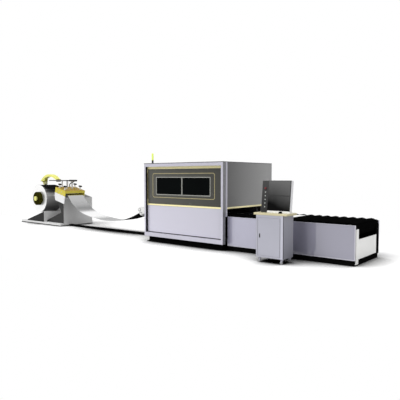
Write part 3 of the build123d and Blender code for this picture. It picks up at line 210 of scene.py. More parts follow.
class Finish:
    """One material, its shader and the helpers that build its node tree."""

    def __init__(self, name, colour, roughness=0.5, metallic=0.0, **settings):
        self.material = bpy.data.materials.new(name)
        self.material.use_nodes = True
        self.tree = self.material.node_tree
        self.shader = self.tree.nodes["Principled BSDF"]
        self.dye(colour)
        self.set("Roughness", roughness)
        self.set("Metallic", metallic)
        for socket, value in settings.items():
            self.set(socket.replace("_", " "), value)

    def set(self, socket, value):
        self.fill(self.shader.inputs[socket], value)

    def dye(self, colour):
        """Sets the base colour and keeps it for a later cover."""
        self.base = colour
        self.set("Base Color", colour)

    def cover(self, mask, colour):
        """Lays a second colour over the first where the mask is 1."""
        self.dye(self.tint(mask, self.base, colour))

    def fill(self, socket, value):
        """Links a socket to a result, or writes a plain value to it."""
        if isinstance(value, Mix):
            self.tree.links.new(value.socket, socket)
        elif isinstance(value, (tuple, list)) and len(value) == 3 and socket.type == "RGBA":
            socket.default_value = (*value, 1.0)
        else:
            socket.default_value = value

    def node(self, kind, settings=None, sockets=None, out=0):
        """Adds a node, fills it and wraps one of its outputs."""
        node = self.tree.nodes.new(kind)
        for key, value in (settings or {}).items():
            setattr(node, key, value)
        for key, value in (sockets or {}).items():
            self.fill(node.inputs[key], value)
        return Mix(self, node.outputs[out])

    def maths(self, operation, *values):
        return self.node("ShaderNodeMath", {"operation": operation}, dict(enumerate(values)))

    def place(self):
        """Object coordinates, which on a CAD node are those of the shared frame."""
        return self.node("ShaderNodeTexCoord", out="Object")

    def axes(self):
        """The three object coordinates."""
        split = self.tree.nodes.new("ShaderNodeSeparateXYZ")
        self.fill(split.inputs[0], self.place())
        return [Mix(self, split.outputs[index]) for index in range(3)]

    def distance(self, across, up):
        """Distance from the origin of two offsets."""
        return self.maths("SQRT", across * across + up * up)

    def vector(self, x, y, z):
        return self.node("ShaderNodeCombineXYZ", None, {0: x, 1: y, 2: z})

    def noise(self, scale, detail=3.0, roughness=0.5, vector=None):
        return self.node("ShaderNodeTexNoise", None, {
            "Vector": vector or self.place(),
            "Scale": scale,
            "Detail": detail,
            "Roughness": roughness,
        })

    def ramp(self, factor, stops):
        """Grey ramp through (place, level) stops."""
        node = self.tree.nodes.new("ShaderNodeValToRGB")
        elements = node.color_ramp.elements
        while len(elements) < len(stops):
            elements.new(0.5)
        for element, (place, level) in zip(elements, stops):
            element.position = place
            element.color = (*grey(level), 1.0)
        self.fill(node.inputs[0], factor)
        return Mix(self, node.outputs[0])

    def ramp_along(self, value, reach, stops):
        """Ramp whose stops are places between the two ends of reach."""
        first, last = reach
        places = [((place - first) / (last - first), level) for place, level in stops]
        return self.ramp(self.span(value, first, last), places)

    def tint(self, factor, low, high):
        """Colour between low and high."""
        sockets = {0: factor, 6: low, 7: high}
        return self.node("ShaderNodeMix", {"data_type": "RGBA"}, sockets, out=2)

    def span(self, value, low, high, first=0.0, last=1.0):
        """Value mapped from low..high to first..last, and held at both ends."""
        sockets = {0: value, 1: low, 2: high, 3: first, 4: last}
        return self.node("ShaderNodeMapRange", None, sockets)

    def bump(self, height, strength, distance):
        sockets = {"Strength": strength, "Distance": distance, "Height": height}
        self.set("Normal", self.node("ShaderNodeBump", None, sockets))

    def grain(self, scale, strength, distance):
        """Fine skin texture from noise."""
        self.bump(self.noise(scale, detail=2.0), strength, distance)


# Finishes


def enamel(name, colour, shade=0.9, roughness=0.32, coat=0.25, **more):
    """Sprayed enamel: fine orange peel, slow colour drift and dust that dulls the gloss."""
    finish = Finish(name, colour, roughness, Coat_Weight=coat, Coat_Roughness=0.12, **more)
    drift = finish.noise(1.7, detail=4.0, roughness=0.6)
    finish.dye(finish.tint(finish.span(drift, 0.35, 0.65), scaled(colour, shade), colour))
    dust = finish.noise(11.0, detail=6.0, roughness=0.7)
    finish.set("Roughness", finish.span(dust, 0.3, 0.75, roughness, roughness + 0.06))
    finish.grain(420.0, strength=0.05, distance=0.0004)
    return finish


def matt(name, colour, shade=0.9, roughness=0.4, specular=0.1):
    """Enamel with no coat and a weak highlight."""
    return enamel(name, colour, shade, roughness, coat=0.0, Specular_IOR_Level=specular)


def rolled_steel(name, colour, roughness, along, streak=0.5):
    """Bright rolled steel with fine streaks along one axis."""
    finish = Finish(name, colour, roughness, metallic=1.0)
    stretch = {"X": (0.6, 260.0, 0.6), "Y": (260.0, 0.6, 260.0)}[along]
    stretched = [axis * factor for axis, factor in zip(finish.axes(), stretch)]
    lines = finish.noise(1.0, detail=4.0, roughness=0.6, vector=finish.vector(*stretched))
    low = scaled(colour, 1 - 0.25 * streak)
    finish.dye(finish.tint(finish.span(lines, 0.3, 0.7), low, colour))
    finish.set("Roughness", finish.span(lines, 0.3, 0.7, roughness, roughness + 0.12 * streak))
    finish.bump(lines, strength=0.06, distance=0.0003)
    return finish


def gloss_with_painted_shade(name, colours, axis, reach, roughness=0.12, **more):
    """Gloss panel with painted shade: its tone changes from one edge to the other."""
    first, last = colours
    finish = Finish(name, last, roughness, **more)
    along = finish.axes()["XYZ".index(axis)] + 0.05 * finish.noise(1.2)
    finish.dye(finish.tint(finish.span(along, *reach), first, last))
    haze = finish.noise(3.0)
    finish.set("Roughness", finish.span(haze, 0.3, 0.75, roughness, roughness + 0.03))
    finish.grain(380.0, strength=0.01, distance=0.0002)
    return finish


def coil_face(name, face):
    """Wound steel: rings for the turns of strip on the side, and painted reflection and shade in
    bands across the outside.
    """
    finish = Finish(name, face, 0.34, metallic=1.0)
    x, y, z = finish.axes()
    across, up = x - COIL_X, z - COIL_Z
    radius = finish.distance(across, up)
    turns = finish.node(
        "ShaderNodeTexWave", {"wave_type": "BANDS", "bands_direction": "X"},
        {"Vector": finish.vector(radius, 0.0, 0.0), "Scale": 22.0})
    drift = finish.noise(1.0, roughness=0.6, vector=finish.vector(radius * 95.0, 0.0, 0.0))
    rings = finish.tint(finish.span(drift, 0.25, 0.75), scaled(face, 0.9), face)
    turn = finish.span(finish.maths("ARCTAN2", up, across), -math.pi, math.pi)
    # Painted reflection and shade: light and dark bands by angle round the coil.
    bands = finish.ramp(turn, COIL_PAINTED_BANDS)
    streaks = finish.noise(1.0, roughness=0.6, vector=finish.vector(turn * 90.0, y * 3.0, 0.0))
    outside = finish.tint(finish.span(streaks, 0.3, 0.7, 0.0, 0.3), bands, grey(0.12))
    on_tread = radius > COIL_RADIUS - SKIN
    finish.dye(finish.tint(on_tread, rings, outside))
    finish.set("Metallic", 1 - 0.7 * on_tread)
    finish.set("Roughness", finish.span(turns, 0.0, 1.0, 0.3, 0.46))
    finish.bump(turns * (1 - on_tread), strength=0.25, distance=0.0008)
    return finish


def black_scale_and_shadow(name, level=0.0025):
    """Black scale with dull, slightly pitted skin; also used as painted shadow."""
    colour = grey(level)
    finish = Finish(name, colour, 0.8, Specular_IOR_Level=0.0)
    patch = finish.noise(14.0, detail=6.0, roughness=0.7)
    finish.dye(finish.tint(finish.span(patch, 0.3, 0.8), colour, scaled(colour, 2.2)))
    finish.set("Roughness", finish.span(patch, 0.3, 0.8, 0.6, 0.8))
    finish.grain(240.0, strength=0.18, distance=0.0008)
    return finish


def moulded(name, colour, roughness=0.45, **more):
    """Moulded plastic with a fine skin texture."""
    finish = Finish(name, colour, roughness, **more)
    finish.dye(finish.tint(finish.noise(60.0), scaled(colour, 0.85), colour))
    finish.grain(900.0, strength=0.12, distance=0.0003)
    return finish


def paint(finish, *nodes):
    """Gives CAD nodes one finish."""
    for node in nodes:
        mesh = NODES[node].data
        mesh.materials.clear()
        mesh.materials.append(finish.material)


# Mesh helpers


def piece(name, mesh_builder, finish, body="line", bevel=0.0, replaces=()):
    """Links a new mesh piece, finishes it and lets it ride on its body."""
    bm = bmesh.new()
    mesh_builder(bm)
    mesh = bpy.data.meshes.new(name)
    bmesh.ops.recalc_face_normals(bm, faces=bm.faces)
    bm.to_mesh(mesh)
    bm.free()
    thing = bpy.data.objects.new(name, mesh)
    bpy.context.scene.collection.objects.link(thing)
    mesh.materials.append(finish.material)
    if bevel:
        cut = thing.modifiers.new("edge", "BEVEL")
        cut.width = bevel
        cut.segments = 3
        cut.limit_method = "ANGLE"
        cut.angle_limit = math.radians(40)
    mesh.shade_smooth()
    mesh.set_sharp_from_angle(angle=math.radians(38))
    if replaces:
        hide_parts(*replaces)
    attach(thing, body)
    return thing


def slab(name, start, end, finish, body="line", bevel=0.0, matrix=None):
    """A box piece between two opposite corners."""
    low, high = zip(*(sorted(pair) for pair in zip(start, end)))

    def build(bm):
        made = bmesh.ops.create_cube(bm, size=1.0)["verts"]
        for vert in made:
            vert.co = Vector([low[i] if vert.co[i] < 0 else high[i] for i in range(3)])
        if matrix:
            bmesh.ops.transform(bm, matrix=matrix, verts=made)

    piece(name, build, finish, body, bevel)


def turned(bm, profile, origin, axis, sides=32):
    """Adds a turned solid: profile is (radius, height) from foot to head along axis."""
    turn = Vector((0, 0, 1)).rotation_difference(Vector(axis).normalized()).to_matrix()
    rings = []
    for radius, height in profile:
        ring = []
        for step in range(sides):
            angle = math.tau * step / sides
            local = Vector((radius * math.cos(angle), radius * math.sin(angle), height))
            ring.append(bm.verts.new(turn @ local + Vector(origin)))
        rings.append(ring)
    for lower, upper in zip(rings, rings[1:]):
        for step in range(sides):
            after = (step + 1) % sides
            bm.faces.new((lower[step], lower[after], upper[after], upper[step]))
    bm.faces.new(list(reversed(rings[0])))
    bm.faces.new(rings[-1])


def rounded_post(radius, height, edge, steps=4):
    """Profile of a post with a rounded head."""
    profile = [(radius, 0.0), (radius, height - edge)]
    for step in range(1, steps + 1):
        angle = math.radians(90 * step / steps)
        profile.append((
            radius - edge + edge * math.cos(angle),
            height - edge + edge * math.sin(angle),
        ))
    return profile


def hose(name, points, radius, finish, body="line"):
    """A round hose along a smooth run of points."""
    curve = bpy.data.curves.new(name, "CURVE")
    curve.dimensions = "3D"
    curve.bevel_depth = radius
    curve.bevel_resolution = 6
    curve.use_fill_caps = True
    spline = curve.splines.new("NURBS")
    spline.points.add(len(points) - 1)
    for point, place in zip(spline.points, points):
        point.co = (*place, 1.0)
    spline.order_u = 4
    spline.use_endpoint_u = True
    spline.resolution_u = 12
    thing = bpy.data.objects.new(name, curve)
    bpy.context.scene.collection.objects.link(thing)
    curve.materials.append(finish.material)
    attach(thing, body)


def head_point(u, w, y):
    """Point on the leveller, u along the tilted pass line and w above it."""
    return Vector((
        LEVELLER_X + u * math.cos(TILT) + w * math.sin(TILT),
        y,
        LEVELLER_Z - u * math.sin(TILT) + w * math.cos(TILT),
    ))


def add_bend(stations, start, heading, turn, radius):
    """Adds the stations of one bend, and returns its end and the new heading."""
    signed = math.copysign(radius, turn)
    middle_x = start[0] - signed * math.sin(heading)
    middle_z = start[1] + signed * math.cos(heading)
    steps = max(2, math.ceil(abs(math.degrees(turn)) / BEND_STEP))
    for step in range(steps + 1):
        now = heading + turn * step / steps
        stations.append((
            middle_x + signed * math.sin(now),
            middle_z - signed * math.cos(now),
            math.cos(now),
            math.sin(now),
        ))
    return stations[-1][:2], heading + turn


def strip_stations():
    """Points and headings along the strip's underside: x, z, heading x, heading z."""
    entry = head_point(-LEVELLER_HALF, 0, 0)
    leave_radius = COIL_RADIUS + MOVING_GAP
    gap_x, gap_z = entry.x - COIL_X, entry.z - COIL_Z
    angle = math.atan2(gap_z, gap_x) + math.acos(leave_radius / math.hypot(gap_x, gap_z))
    x = COIL_X + leave_radius * math.cos(angle)
    z = COIL_Z + leave_radius * math.sin(angle)
    feed = math.atan2(entry.z - z, entry.x - x)
    stations = [(x, z, math.cos(feed), math.sin(feed))]

    start = (entry.x - FEED_BEND / 2 * math.cos(feed), entry.z - FEED_BEND / 2 * math.sin(feed))
    _, heading = add_bend(stations, start, feed, -feed - TILT, FEED_BEND / abs(feed + TILT))
    leave = head_point(LEVELLER_HALF, 0, 0)
    end = (leave.x, leave.z)
    for degrees, radius in LOOP_BENDS:
        end, heading = add_bend(stations, end, heading, math.radians(degrees), radius)
    level_radius = (PASS_HEIGHT - end[1]) / (1 - math.cos(heading))
    add_bend(stations, end, heading, -heading, level_radius)
    stations.append((STRIP_END_X, PASS_HEIGHT, 1.0, 0.0))

    unique = stations[:1]
    for station in stations[1:]:
        if math.dist(station[:2], unique[-1][:2]) > 0.001:
            unique.append(station)
    return unique


# Settings


def colour_setting(name, description, default):
    """A colour that the panel shows."""
    return bpy.props.FloatVectorProperty(
        name=name, description=description, subtype="COLOR", size=3, default=default)


class LaserLineSettings(bpy.types.PropertyGroup):
    """Colours and sizes a user may change."""

    frame_colour: colour_setting(
        "Frame colour", "Light enamel of the front frame and table covers", (0.53, 0.52, 0.60))
    cover_colour: colour_setting(
        "Upper cover colour", "Dark gloss of the upper front cover", (0.085, 0.084, 0.072))
    trim_colour: colour_setting(
        "Trim colour", "Pale gold of the trims", (0.94, 0.85, 0.44))
    side_colour: colour_setting(
        "Side colour", "Mid grey of the side covers", (0.33, 0.33, 0.33))
    leveller_colour: colour_setting(
        "Leveller colour", "Yellow of the leveller head", (0.62, 0.53, 0.075))
    console_colour: colour_setting(
        "Console colour", "Lavender grey of the console cabinet", (0.40, 0.40, 0.46))
    desk_colour: colour_setting(
        "Desk colour", "Cream-gold of the console desk", (0.60, 0.54, 0.33))
    hose_radius: bpy.props.FloatProperty(
        name="Hose radius", description="Radius of the actuator hose",
        unit="LENGTH", default=0.017)


def settings():
    """The line's settings in the open scene."""
    return bpy.context.scene.laser_line


# Operators


class LASER_OT_cabin(bpy.types.Operator):
    """Finish the cabin's covers, trims and window"""

    bl_idname = "laser_line.cabin"
    bl_label = "Cabin"

    # Reach of the painted shade across the panels, edges of the mask for the painted shade on the
    # left trims, and the trims' relief
    FRONT_SHADE_REACH = (-1.2, 1.2)
    SIDE_SHADE_REACH = (-1.0, 0.9)
    OUTLINE_X = 1.2
    OUTLINE_Z = (1.2, 1.95)
    TRIM_RELIEF = 0.0075
    TRIM_INSET = 0.016

    def execute(self, context):
        pale = tuple(settings().frame_colour)
        dark = tuple(settings().cover_colour)
        side = tuple(settings().side_colour)

        frame_grey = enamel("frame_grey", pale, shade=0.94, roughness=0.26, coat=0.3)
        x, y, z = frame_grey.axes()
        # Painted shade: the frame's outer side faces near the front are darker.
        shaded_outer_sides = (abs(x) > CABIN_HALF - SKIN) * (y < LIP_Y + HAIR)
        frame_grey.cover(shaded_outer_sides, (0.17, 0.17, 0.185))
        paint(frame_grey, "front_frame")
        # Painted shade: both front covers are darker towards the right.
        upper = gloss_with_painted_shade(
            "upper_cover_gloss", (dark, scaled(dark, 0.55)), "X", self.FRONT_SHADE_REACH,
            roughness=0.25, Specular_IOR_Level=0.3)
        lower = gloss_with_painted_shade(
            "lower_cover_gloss", (scaled(pale, 1.1), scaled(pale, 0.97)), "X", self.FRONT_SHADE_REACH,
            roughness=0.2, Coat_Weight=0.3)
        paint(upper, "front_upper_panel")
        paint(lower, "front_lower_panel")

        gold = Finish("trim_gold", tuple(settings().trim_colour), Coat_Weight=0.5)
        gold.set("Roughness", gold.span(gold.noise(30.0), 0.3, 0.7, 0.22, 0.36))
        x, y, z = gold.axes()
        # Painted shade: a duller, grey-beige gold on the trims left of x 1.2, between 1.2 m and
        # 1.95 m up.
        shaded_outline = (x < self.OUTLINE_X) * (y < COVER_Y + 2 * HAIR) * z.within(*self.OUTLINE_Z)
        gold.cover(shaded_outline, tone(172, 160, 112))
        paint(gold, "trim_strips")

        window = enamel("window_grey", tone(150, 150, 143), roughness=0.35, coat=0.1)
        paint(window, "window_frame")
        pane = Finish("window_tint", grey(0.002), roughness=0.06, Specular_IOR_Level=0.02)
        pane.dye(pane.tint(pane.noise(2.5), (0.0008, 0.001, 0.0012), (0.002, 0.003, 0.003)))
        paint(pane, "window_glass")

        # Painted shade: the right side panel is darker towards the front.
        right = gloss_with_painted_shade(
            "right_side_grey", (scaled(side, 0.42), scaled(side, 1.1)), "Y", self.SIDE_SHADE_REACH,
            roughness=0.4, Specular_IOR_Level=0.2)
        paint(right, "right_side_panel")
        side_grey = matt("side_grey", scaled(side, 0.8), specular=0.3)
        paint(side_grey, "left_side_panel", "rear_panel")
        paint(matt("roof_grey", tone(95, 95, 98), specular=0.3), "roof_panel")
        self.trims(gold, frame_grey)
        paint(black_scale_and_shadow("plinth_black"), "cabin_base", "cable_trunking")
        return {"FINISHED"}

    def trims(self, gold, pale):
        """Painted shadow sheets in the posts, thin gold trims, a painted shadow strip at the foot
        of the cover, and on the right a painted highlight strip and a painted shadow in the gap.
        """
        black = black_scale_and_shadow("painted_shadow_black")
        back = COVER_Y + HAIR
        face = COVER_Y - self.TRIM_RELIEF
        for name, side in (("left", -1), ("right", 1)):
            insets = (0.0, SKIN, self.TRIM_INSET)
            post, shadow_sheet_x, edge = (side * (POST_INNER - inset) for inset in insets)
            # Painted shadow: a black sheet on each post's inner face, in the frame's recess.
            slab(f"post_shadow_sheet_{name}", (post, -1.143, FRAME_INNER_BOTTOM + 0.002),
                 (shadow_sheet_x, COVER_Y - HAIR, FRAME_INNER_TOP - 0.002), black)
            slab(f"cover_trim_{name}", (shadow_sheet_x, face + HAIR, 1.072), (edge, back, 2.064),
                 gold, bevel=0.001)
        slab("top_trim", (-1.308, face, 2.036), (1.308, back, FRAME_INNER_TOP - SKIN),
             gold, bevel=0.002)
        # Painted shadow: a black strip on the ledge at the foot of the lower cover.
        slab("cover_shadow_strip", (-1.324, face, FRAME_INNER_BOTTOM + HAIR), (1.324, back, 0.285),
             black, bevel=0.001)
        # Painted highlight: a pale strip on the frame's right side face.
        slab("side_highlight_strip", (CABIN_HALF - HAIR, -1.030, 0.848), (1.3885, -0.966, 2.176),
             pale, bevel=0.001)
        # Painted shadow: a black sheet in the gap beside the frame's right side.
        slab("side_shadow_gap", (1.3775, LIP_Y + HAIR, 0.162), (1.3792, -1.0325, 2.178),
             black)


class LASER_OT_lamp(bpy.types.Operator):
    """Build the tower light's stub and ribbed lens"""

    bl_idname = "laser_line.lamp"
    bl_label = "Tower light"

    # The stub's profile as (radius, height), and the lens on top of it
    STUB = ((0.042, 0.0), (0.042, 0.008), (0.026, 0.010), (0.026, 0.086), (0.028, 0.090))
    LENS_RADIUS = 0.028
    LENS_HEIGHT = 0.190
    LENS_EDGE = 0.012

    def execute(self, context):
        low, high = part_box("tower_light")
        foot = Vector(((low.x + high.x) / 2, (low.y + high.y) / 2, low.z))
        seat = foot + Vector((0.0, 0.0, self.STUB[-1][1]))
        up = (0, 0, 1)
        stub = moulded("lamp_stub_black", grey(0.02), roughness=0.4)
        lens = Finish(
            "lamp_lens", (0.42, 0.52, 0.10), roughness=0.18, Coat_Weight=0.6,
            Emission_Strength=0.35)
        lens.set("Emission Color", (0.75, 0.95, 0.10))
        z = lens.axes()[2]
        ribs = lens.node(
            "ShaderNodeTexWave", {"bands_direction": "Z"},
            {"Vector": lens.vector(0.0, 0.0, z), "Scale": 40.0})
        lens.dye(lens.tint(ribs, (0.50, 0.62, 0.06), (0.80, 0.88, 0.22)))
        lens.bump(ribs, strength=0.3, distance=0.001)
        dome = rounded_post(self.LENS_RADIUS, self.LENS_HEIGHT, self.LENS_EDGE)
        piece("lamp_stub", lambda bm: turned(bm, self.STUB, foot, up),
              stub, replaces=("tower_light",))
        piece("lamp_lens_cover", lambda bm: turned(bm, dome, seat, up), lens)
        return {"FINISHED"}


class LASER_OT_machine(bpy.types.Operator):
    """Finish the bed, gantry, carriage and cutting head"""

    bl_idname = "laser_line.machine"
    bl_label = "Machine inside"

    def execute(self, context):
        bed = matt("bed_grey", (0.035, 0.035, 0.038), shade=0.85, roughness=0.5)
        paint(bed, "machine_bed", "gantry_beam")
        plate = rolled_steel("carriage_aluminium", (0.6, 0.6, 0.61), roughness=0.35, along="Y")
        paint(plate, "head_carriage", "cutting_head")
        return {"FINISHED"}


class LASER_OT_table(bpy.types.Operator):
    """Finish the conveyor table's covers, slats and shaft"""

    bl_idname = "laser_line.table"
    bl_label = "Conveyor table"

    # Reach of the side cover's painted shade, and the inner edges of its painted highlight border
    FADE = (2.4, 3.4)
    RIM_X = 4.552
    RIM_Z = (0.136, 0.832)

    def execute(self, context):
        pale = tuple(settings().frame_colour)
        # Painted shade: the side cover darkens along x from 2.4 m to 3.4 m.
        fade = (scaled(pale, 0.72, 0.72, 0.80), scaled(pale, 0.44, 0.44, 0.49))
        cover = gloss_with_painted_shade(
            "table_cover_gloss", fade, "X", self.FADE, roughness=0.35,
            Coat_Weight=1.0, Coat_Roughness=0.03, Coat_IOR=2.0)
        x, _, z = cover.axes()
        low, high = self.RIM_Z
        # Painted highlight: a lighter border along the cover's top, bottom and far end.
        highlight_border = (z < low) + (z > high) + (x > self.RIM_X)
        cover.cover(highlight_border, scaled(pale, 0.8))
        paint(cover, "table_front_panel", "table_rear_panel")
        end = enamel("end_white", tone(240, 240, 238), shade=0.95, roughness=0.35, coat=0.2)
        paint(end, "table_end_panel")
        paint(black_scale_and_shadow("table_black"), "table_frame")
        paint(black_scale_and_shadow("slat_scale", 0.002), "conveyor_slats")
        steel = rolled_steel("shaft_steel", grey(0.5), roughness=0.3, along="Y")
        paint(steel, "drive_shaft")
        return {"FINISHED"}


class LASER_OT_strip(bpy.types.Operator):
    """Finish the strip, coil and entry rolls"""

    bl_idname = "laser_line.strip"
    bl_label = "Strip and coil"

    # Faces that get the black painted shade: the underside, and all of the strip before the
    # leveller; and the dark ring near the rim of each entry roll's end
    DARK_BEFORE_X = -6.78
    UNDERSIDE_BELOW = -0.2
    RING_FACE_Y = -0.5855
    DARK_RING = (0.040, 0.056)

    def execute(self, context):
        bright = rolled_steel(
            "strip_bright", (0.80, 0.81, 0.83), roughness=0.10, along="X", streak=0.3)
        bright.set("Specular IOR Level", 0.0)
        x = bright.axes()[0]
        # Painted shade and reflection: the strip's tone and its metal reflection change along x.
        bright.cover(0.85, bright.ramp_along(x, STRIP_REACH, STRIP_PAINTED_SHADE))
        bright.set("Metallic", bright.ramp_along(x, STRIP_REACH, STRIP_METAL))
        under = black_scale_and_shadow("strip_shade_black", 0.006)
        strip = piece("strip_sheet", self.sheet_of_steel, bright,
                      replaces=("steel_strip",))
        strip.data.materials.append(under.material)
        # Painted shade: the underside and the strip before the leveller take the black finish.
        for face in strip.data.polygons:
            if face.normal.z < self.UNDERSIDE_BELOW or face.center.x < self.DARK_BEFORE_X:
                face.material_index = 1
        paint(coil_face("coil_wound", (0.97, 0.97, 0.965)), "steel_coil")

        white = enamel("roll_white", (0.80, 0.80, 0.79), shade=0.95, roughness=0.3, coat=0.2)
        x, y, z = white.axes()
        for roll_x, roll_z in ENTRY_ROLLS:
            radius = white.distance(x - roll_x, z - roll_z)
            ring = (y < self.RING_FACE_Y) * radius.within(*self.DARK_RING)
            white.cover(ring, grey(0.01))
        paint(white, "entry_stand", "entry_lower_roll", "entry_upper_roll")
        return {"FINISHED"}

    def sheet_of_steel(self, bm):
        """The strip from the coil to its cut end, bent smoothly along the CAD's bend lines."""
        low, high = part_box("steel_strip")
        stations = strip_stations()
        near = []
        far = []
        for x, z, along_x, along_z in stations:
            over = (x - along_z * STRIP_THICKNESS, z + along_x * STRIP_THICKNESS)
            for column, y in ((near, low.y), (far, high.y)):
                column.append((bm.verts.new((x, y, z)), bm.verts.new((over[0], y, over[1]))))
        for step in range(len(stations) - 1):
            a, b = near[step], near[step + 1]
            c, d = far[step], far[step + 1]
            bm.faces.new((a[1], b[1], d[1], c[1]))
            bm.faces.new((a[0], c[0], d[0], b[0]))
            bm.faces.new((a[0], b[0], b[1], a[1]))
            bm.faces.new((c[0], c[1], d[1], d[0]))
        bm.faces.new((near[0][0], near[0][1], far[0][1], far[0][0]))
        bm.faces.new((near[-1][0], far[-1][0], far[-1][1], near[-1][1]))


class LASER_OT_decoiler(bpy.types.Operator):
    """Finish the decoiler, its mandrel and the hold-down arm"""

    bl_idname = "laser_line.decoiler"
    bl_label = "Decoiler"

    # Edges of the masks on the gussets and the painted shadow at the platform's foot, the boss,
    # the arm's pivot and its ears
    FOOT_SHADOW_TOP = 0.03
    GUSSETS_ABOVE = 0.1002
    BOSS_Y = -0.60
    BOSS_PAINT_RADIUS = math.sqrt(0.0075)
    PIVOT_PAINT_RADIUS = 0.05
    EAR_X = -7.97
    EAR_Z = (1.60, 1.655)

    def execute(self, context):
        base = matt("platform_paint", grey(0.72), shade=0.92, roughness=0.5, specular=0.05)
        x, y, z = base.axes()
        near, far = PLATFORM_GUSSETS_Y
        gussets = (z > self.GUSSETS_ABOVE) * ((y < near + HAIR) + (y > far - HAIR))
        # Dark gussets, and a painted shadow along the platform's foot.
        base.cover(gussets + (z < self.FOOT_SHADOW_TOP), grey(0.026))
        paint(base, "decoiler_base")

        olive = matt(
            "mandrel_olive", (0.042, 0.040, 0.005), shade=0.5, roughness=0.5, specular=0.0)
        x, y, z = olive.axes()
        radius = olive.distance(x - COIL_X, z - COIL_Z)
        boss = (radius < self.BOSS_PAINT_RADIUS) * (y < self.BOSS_Y)
        olive.cover(boss, (0.75, 0.74, 0.26))
        paint(olive, "mandrel")

        yellow = matt("arm_yellow", (0.88, 0.87, 0.24), shade=0.94, specular=0.12)
        x, _, z = yellow.axes()
        pivot = yellow.distance(x - PIVOT_X, z - PIVOT_Z) < self.PIVOT_PAINT_RADIUS
        ears = (x < self.EAR_X) * z.within(*self.EAR_Z)
        yellow.cover(pivot, (0.10, 0.08, 0.006))
        yellow.cover(ears, (0.14, 0.12, 0.01))
        paint(yellow, "hold_down_arm")
        rubber = moulded("roller_rubber", (0.72, 0.70, 0.40), roughness=0.5)
        paint(rubber, "press_roller")
        return {"FINISHED"}


class LASER_OT_leveller(bpy.types.Operator):
    """Finish the leveller, its stand, rolls, handwheels and arm beam"""

    bl_idname = "laser_line.leveller"
    bl_label = "Leveller"

    # Where the bars turn black, the hose's run as (x, z), and the knob profiles
    BAR_ENDS_X = -6.441
    HOSE_RUN = ((-6.10, 1.655), (-6.20, 1.615), (-6.34, 1.60), (-6.41, 1.53), (-6.375, 1.43))
    STEM = (
        (0.038, 0.0), (0.038, 0.012), (0.034, 0.016), (0.021, 0.018), (0.021, 0.100),
        (0.030, 0.104),
    )
    CAP = (
        (0.030, 0.102), (0.056, 0.104), (0.064, 0.112), (0.064, 0.132), (0.056, 0.142),
        (0.030, 0.147),
    )
    LOBES = 8
    LOBE_DEPTH = 0.004
    LOBES_FROM_RADIUS = 0.05

    def execute(self, context):
        paint(self.head_paint(), "leveller_head")
        cheek = enamel("cheek_white", (0.78, 0.78, 0.79), shade=0.95, roughness=0.35, coat=0.2)
        paint(cheek, "leveller_frame")

        stand = matt("stand_paint", grey(0.32), specular=0.2)
        x, y, z = stand.axes()
        front_plate = x > STAND_FRONT_X - SKIN
        behind = x < STAND_FRONT_X - SKIN
        # Painted shade: the stand darker towards the top, and on the front plate a painted shadow
        # under the strip.
        front_shade = stand.tint(stand.span(z - 0.3 * y, 1.2, 0.2), grey(0.42), grey(0.66))
        stand.cover(stand.span(z, 1.1, 0.1), grey(0.50))
        stand.cover(front_plate, front_shade)
        stand.cover((y < STAND_NEAR_WEB_Y + HAIR) * behind, grey(0.02))
        paint(stand, "leveller_stand")

        steel = rolled_steel("work_roll_steel", grey(0.6), roughness=0.2, along="Y")
        paint(steel, *(f"leveller_roll_{number}" for number in range(1, 6)))

        beam = matt("beam_grey", (0.15, 0.15, 0.155), shade=0.85)
        x, _, z = beam.axes()
        posts = z < BEAM_BOTTOM - HAIR
        bar_ends = (x > self.BAR_ENDS_X) * (z > BEAM_BOTTOM - HAIR)
        beam.cover(posts, (0.66, 0.66, 0.68))
        beam.cover(bar_ends, grey(0.02))
        paint(beam, "arm_beam")

        self.knobs()
        rubber = moulded("hose_black", grey(0.012), roughness=0.5, Specular_IOR_Level=0.2)
        run = [(x, LINE_Y, z) for x, z in self.HOSE_RUN]
        hose("actuator_hose", run, settings().hose_radius, rubber)
        return {"FINISHED"}

    def head_paint(self):
        """Yellow sides, with painted shade in deeper gold on the top and on the end towards the
        cabin.
        """
        gold = tuple(settings().leveller_colour)
        yellow = matt("head_yellow", gold, shade=0.88, specular=0.12)
        x, _, z = yellow.axes()
        off_x, off_z = x - LEVELLER_X, z - LEVELLER_Z
        along = off_x * math.cos(TILT) - off_z * math.sin(TILT)
        above = off_x * math.sin(TILT) + off_z * math.cos(TILT)
        # Painted shade: deeper gold on the top and on the end towards the cabin.
        shaded_gold = scaled(gold, 0.80, 0.60, 0.35)
        yellow.cover(above > HEAD_TOP - SKIN, scaled(shaded_gold, 0.8))
        yellow.cover(along > HEAD_END - SKIN, shaded_gold)
        return yellow

    def knobs(self):
        """Adjusting screws with a white collar and stem under a black lobed cap."""
        stem = matt("knob_stem_white", (0.78, 0.78, 0.77), shade=0.94, roughness=0.35)
        cap = moulded("knob_cap_black", grey(0.008), Specular_IOR_Level=0.03)
        places = [(along, across) for across in SCREWS_ACROSS for along in SCREWS_ALONG]
        for number, (along, across) in enumerate(places, start=1):
            foot = head_point(along, HEAD_TOP + SKIN, across)
            body = f"handwheel_{number}"
            piece(f"knob_stem_{number}", lambda bm: turned(bm, self.STEM, foot, HEAD_UP),
                  stem, body, replaces=(body,))
            piece(f"knob_cap_{number}", lambda bm: self.lobed_cap(bm, foot),
                  cap, body)

    def lobed_cap(self, bm, foot):
        """A round cap with grip lobes and a domed head."""
        turned(bm, self.CAP, foot, HEAD_UP, sides=64)
        across = Vector((0, 1, 0))
        for vert in bm.verts:
            out = vert.co - foot
            out -= HEAD_UP * out.dot(HEAD_UP)
            if out.length > self.LOBES_FROM_RADIUS:
                around = math.atan2(out.dot(across), out.dot(across.cross(HEAD_UP)))
                lobe = self.LOBE_DEPTH * math.cos(self.LOBES * around)
                vert.co += out.normalized() * lobe


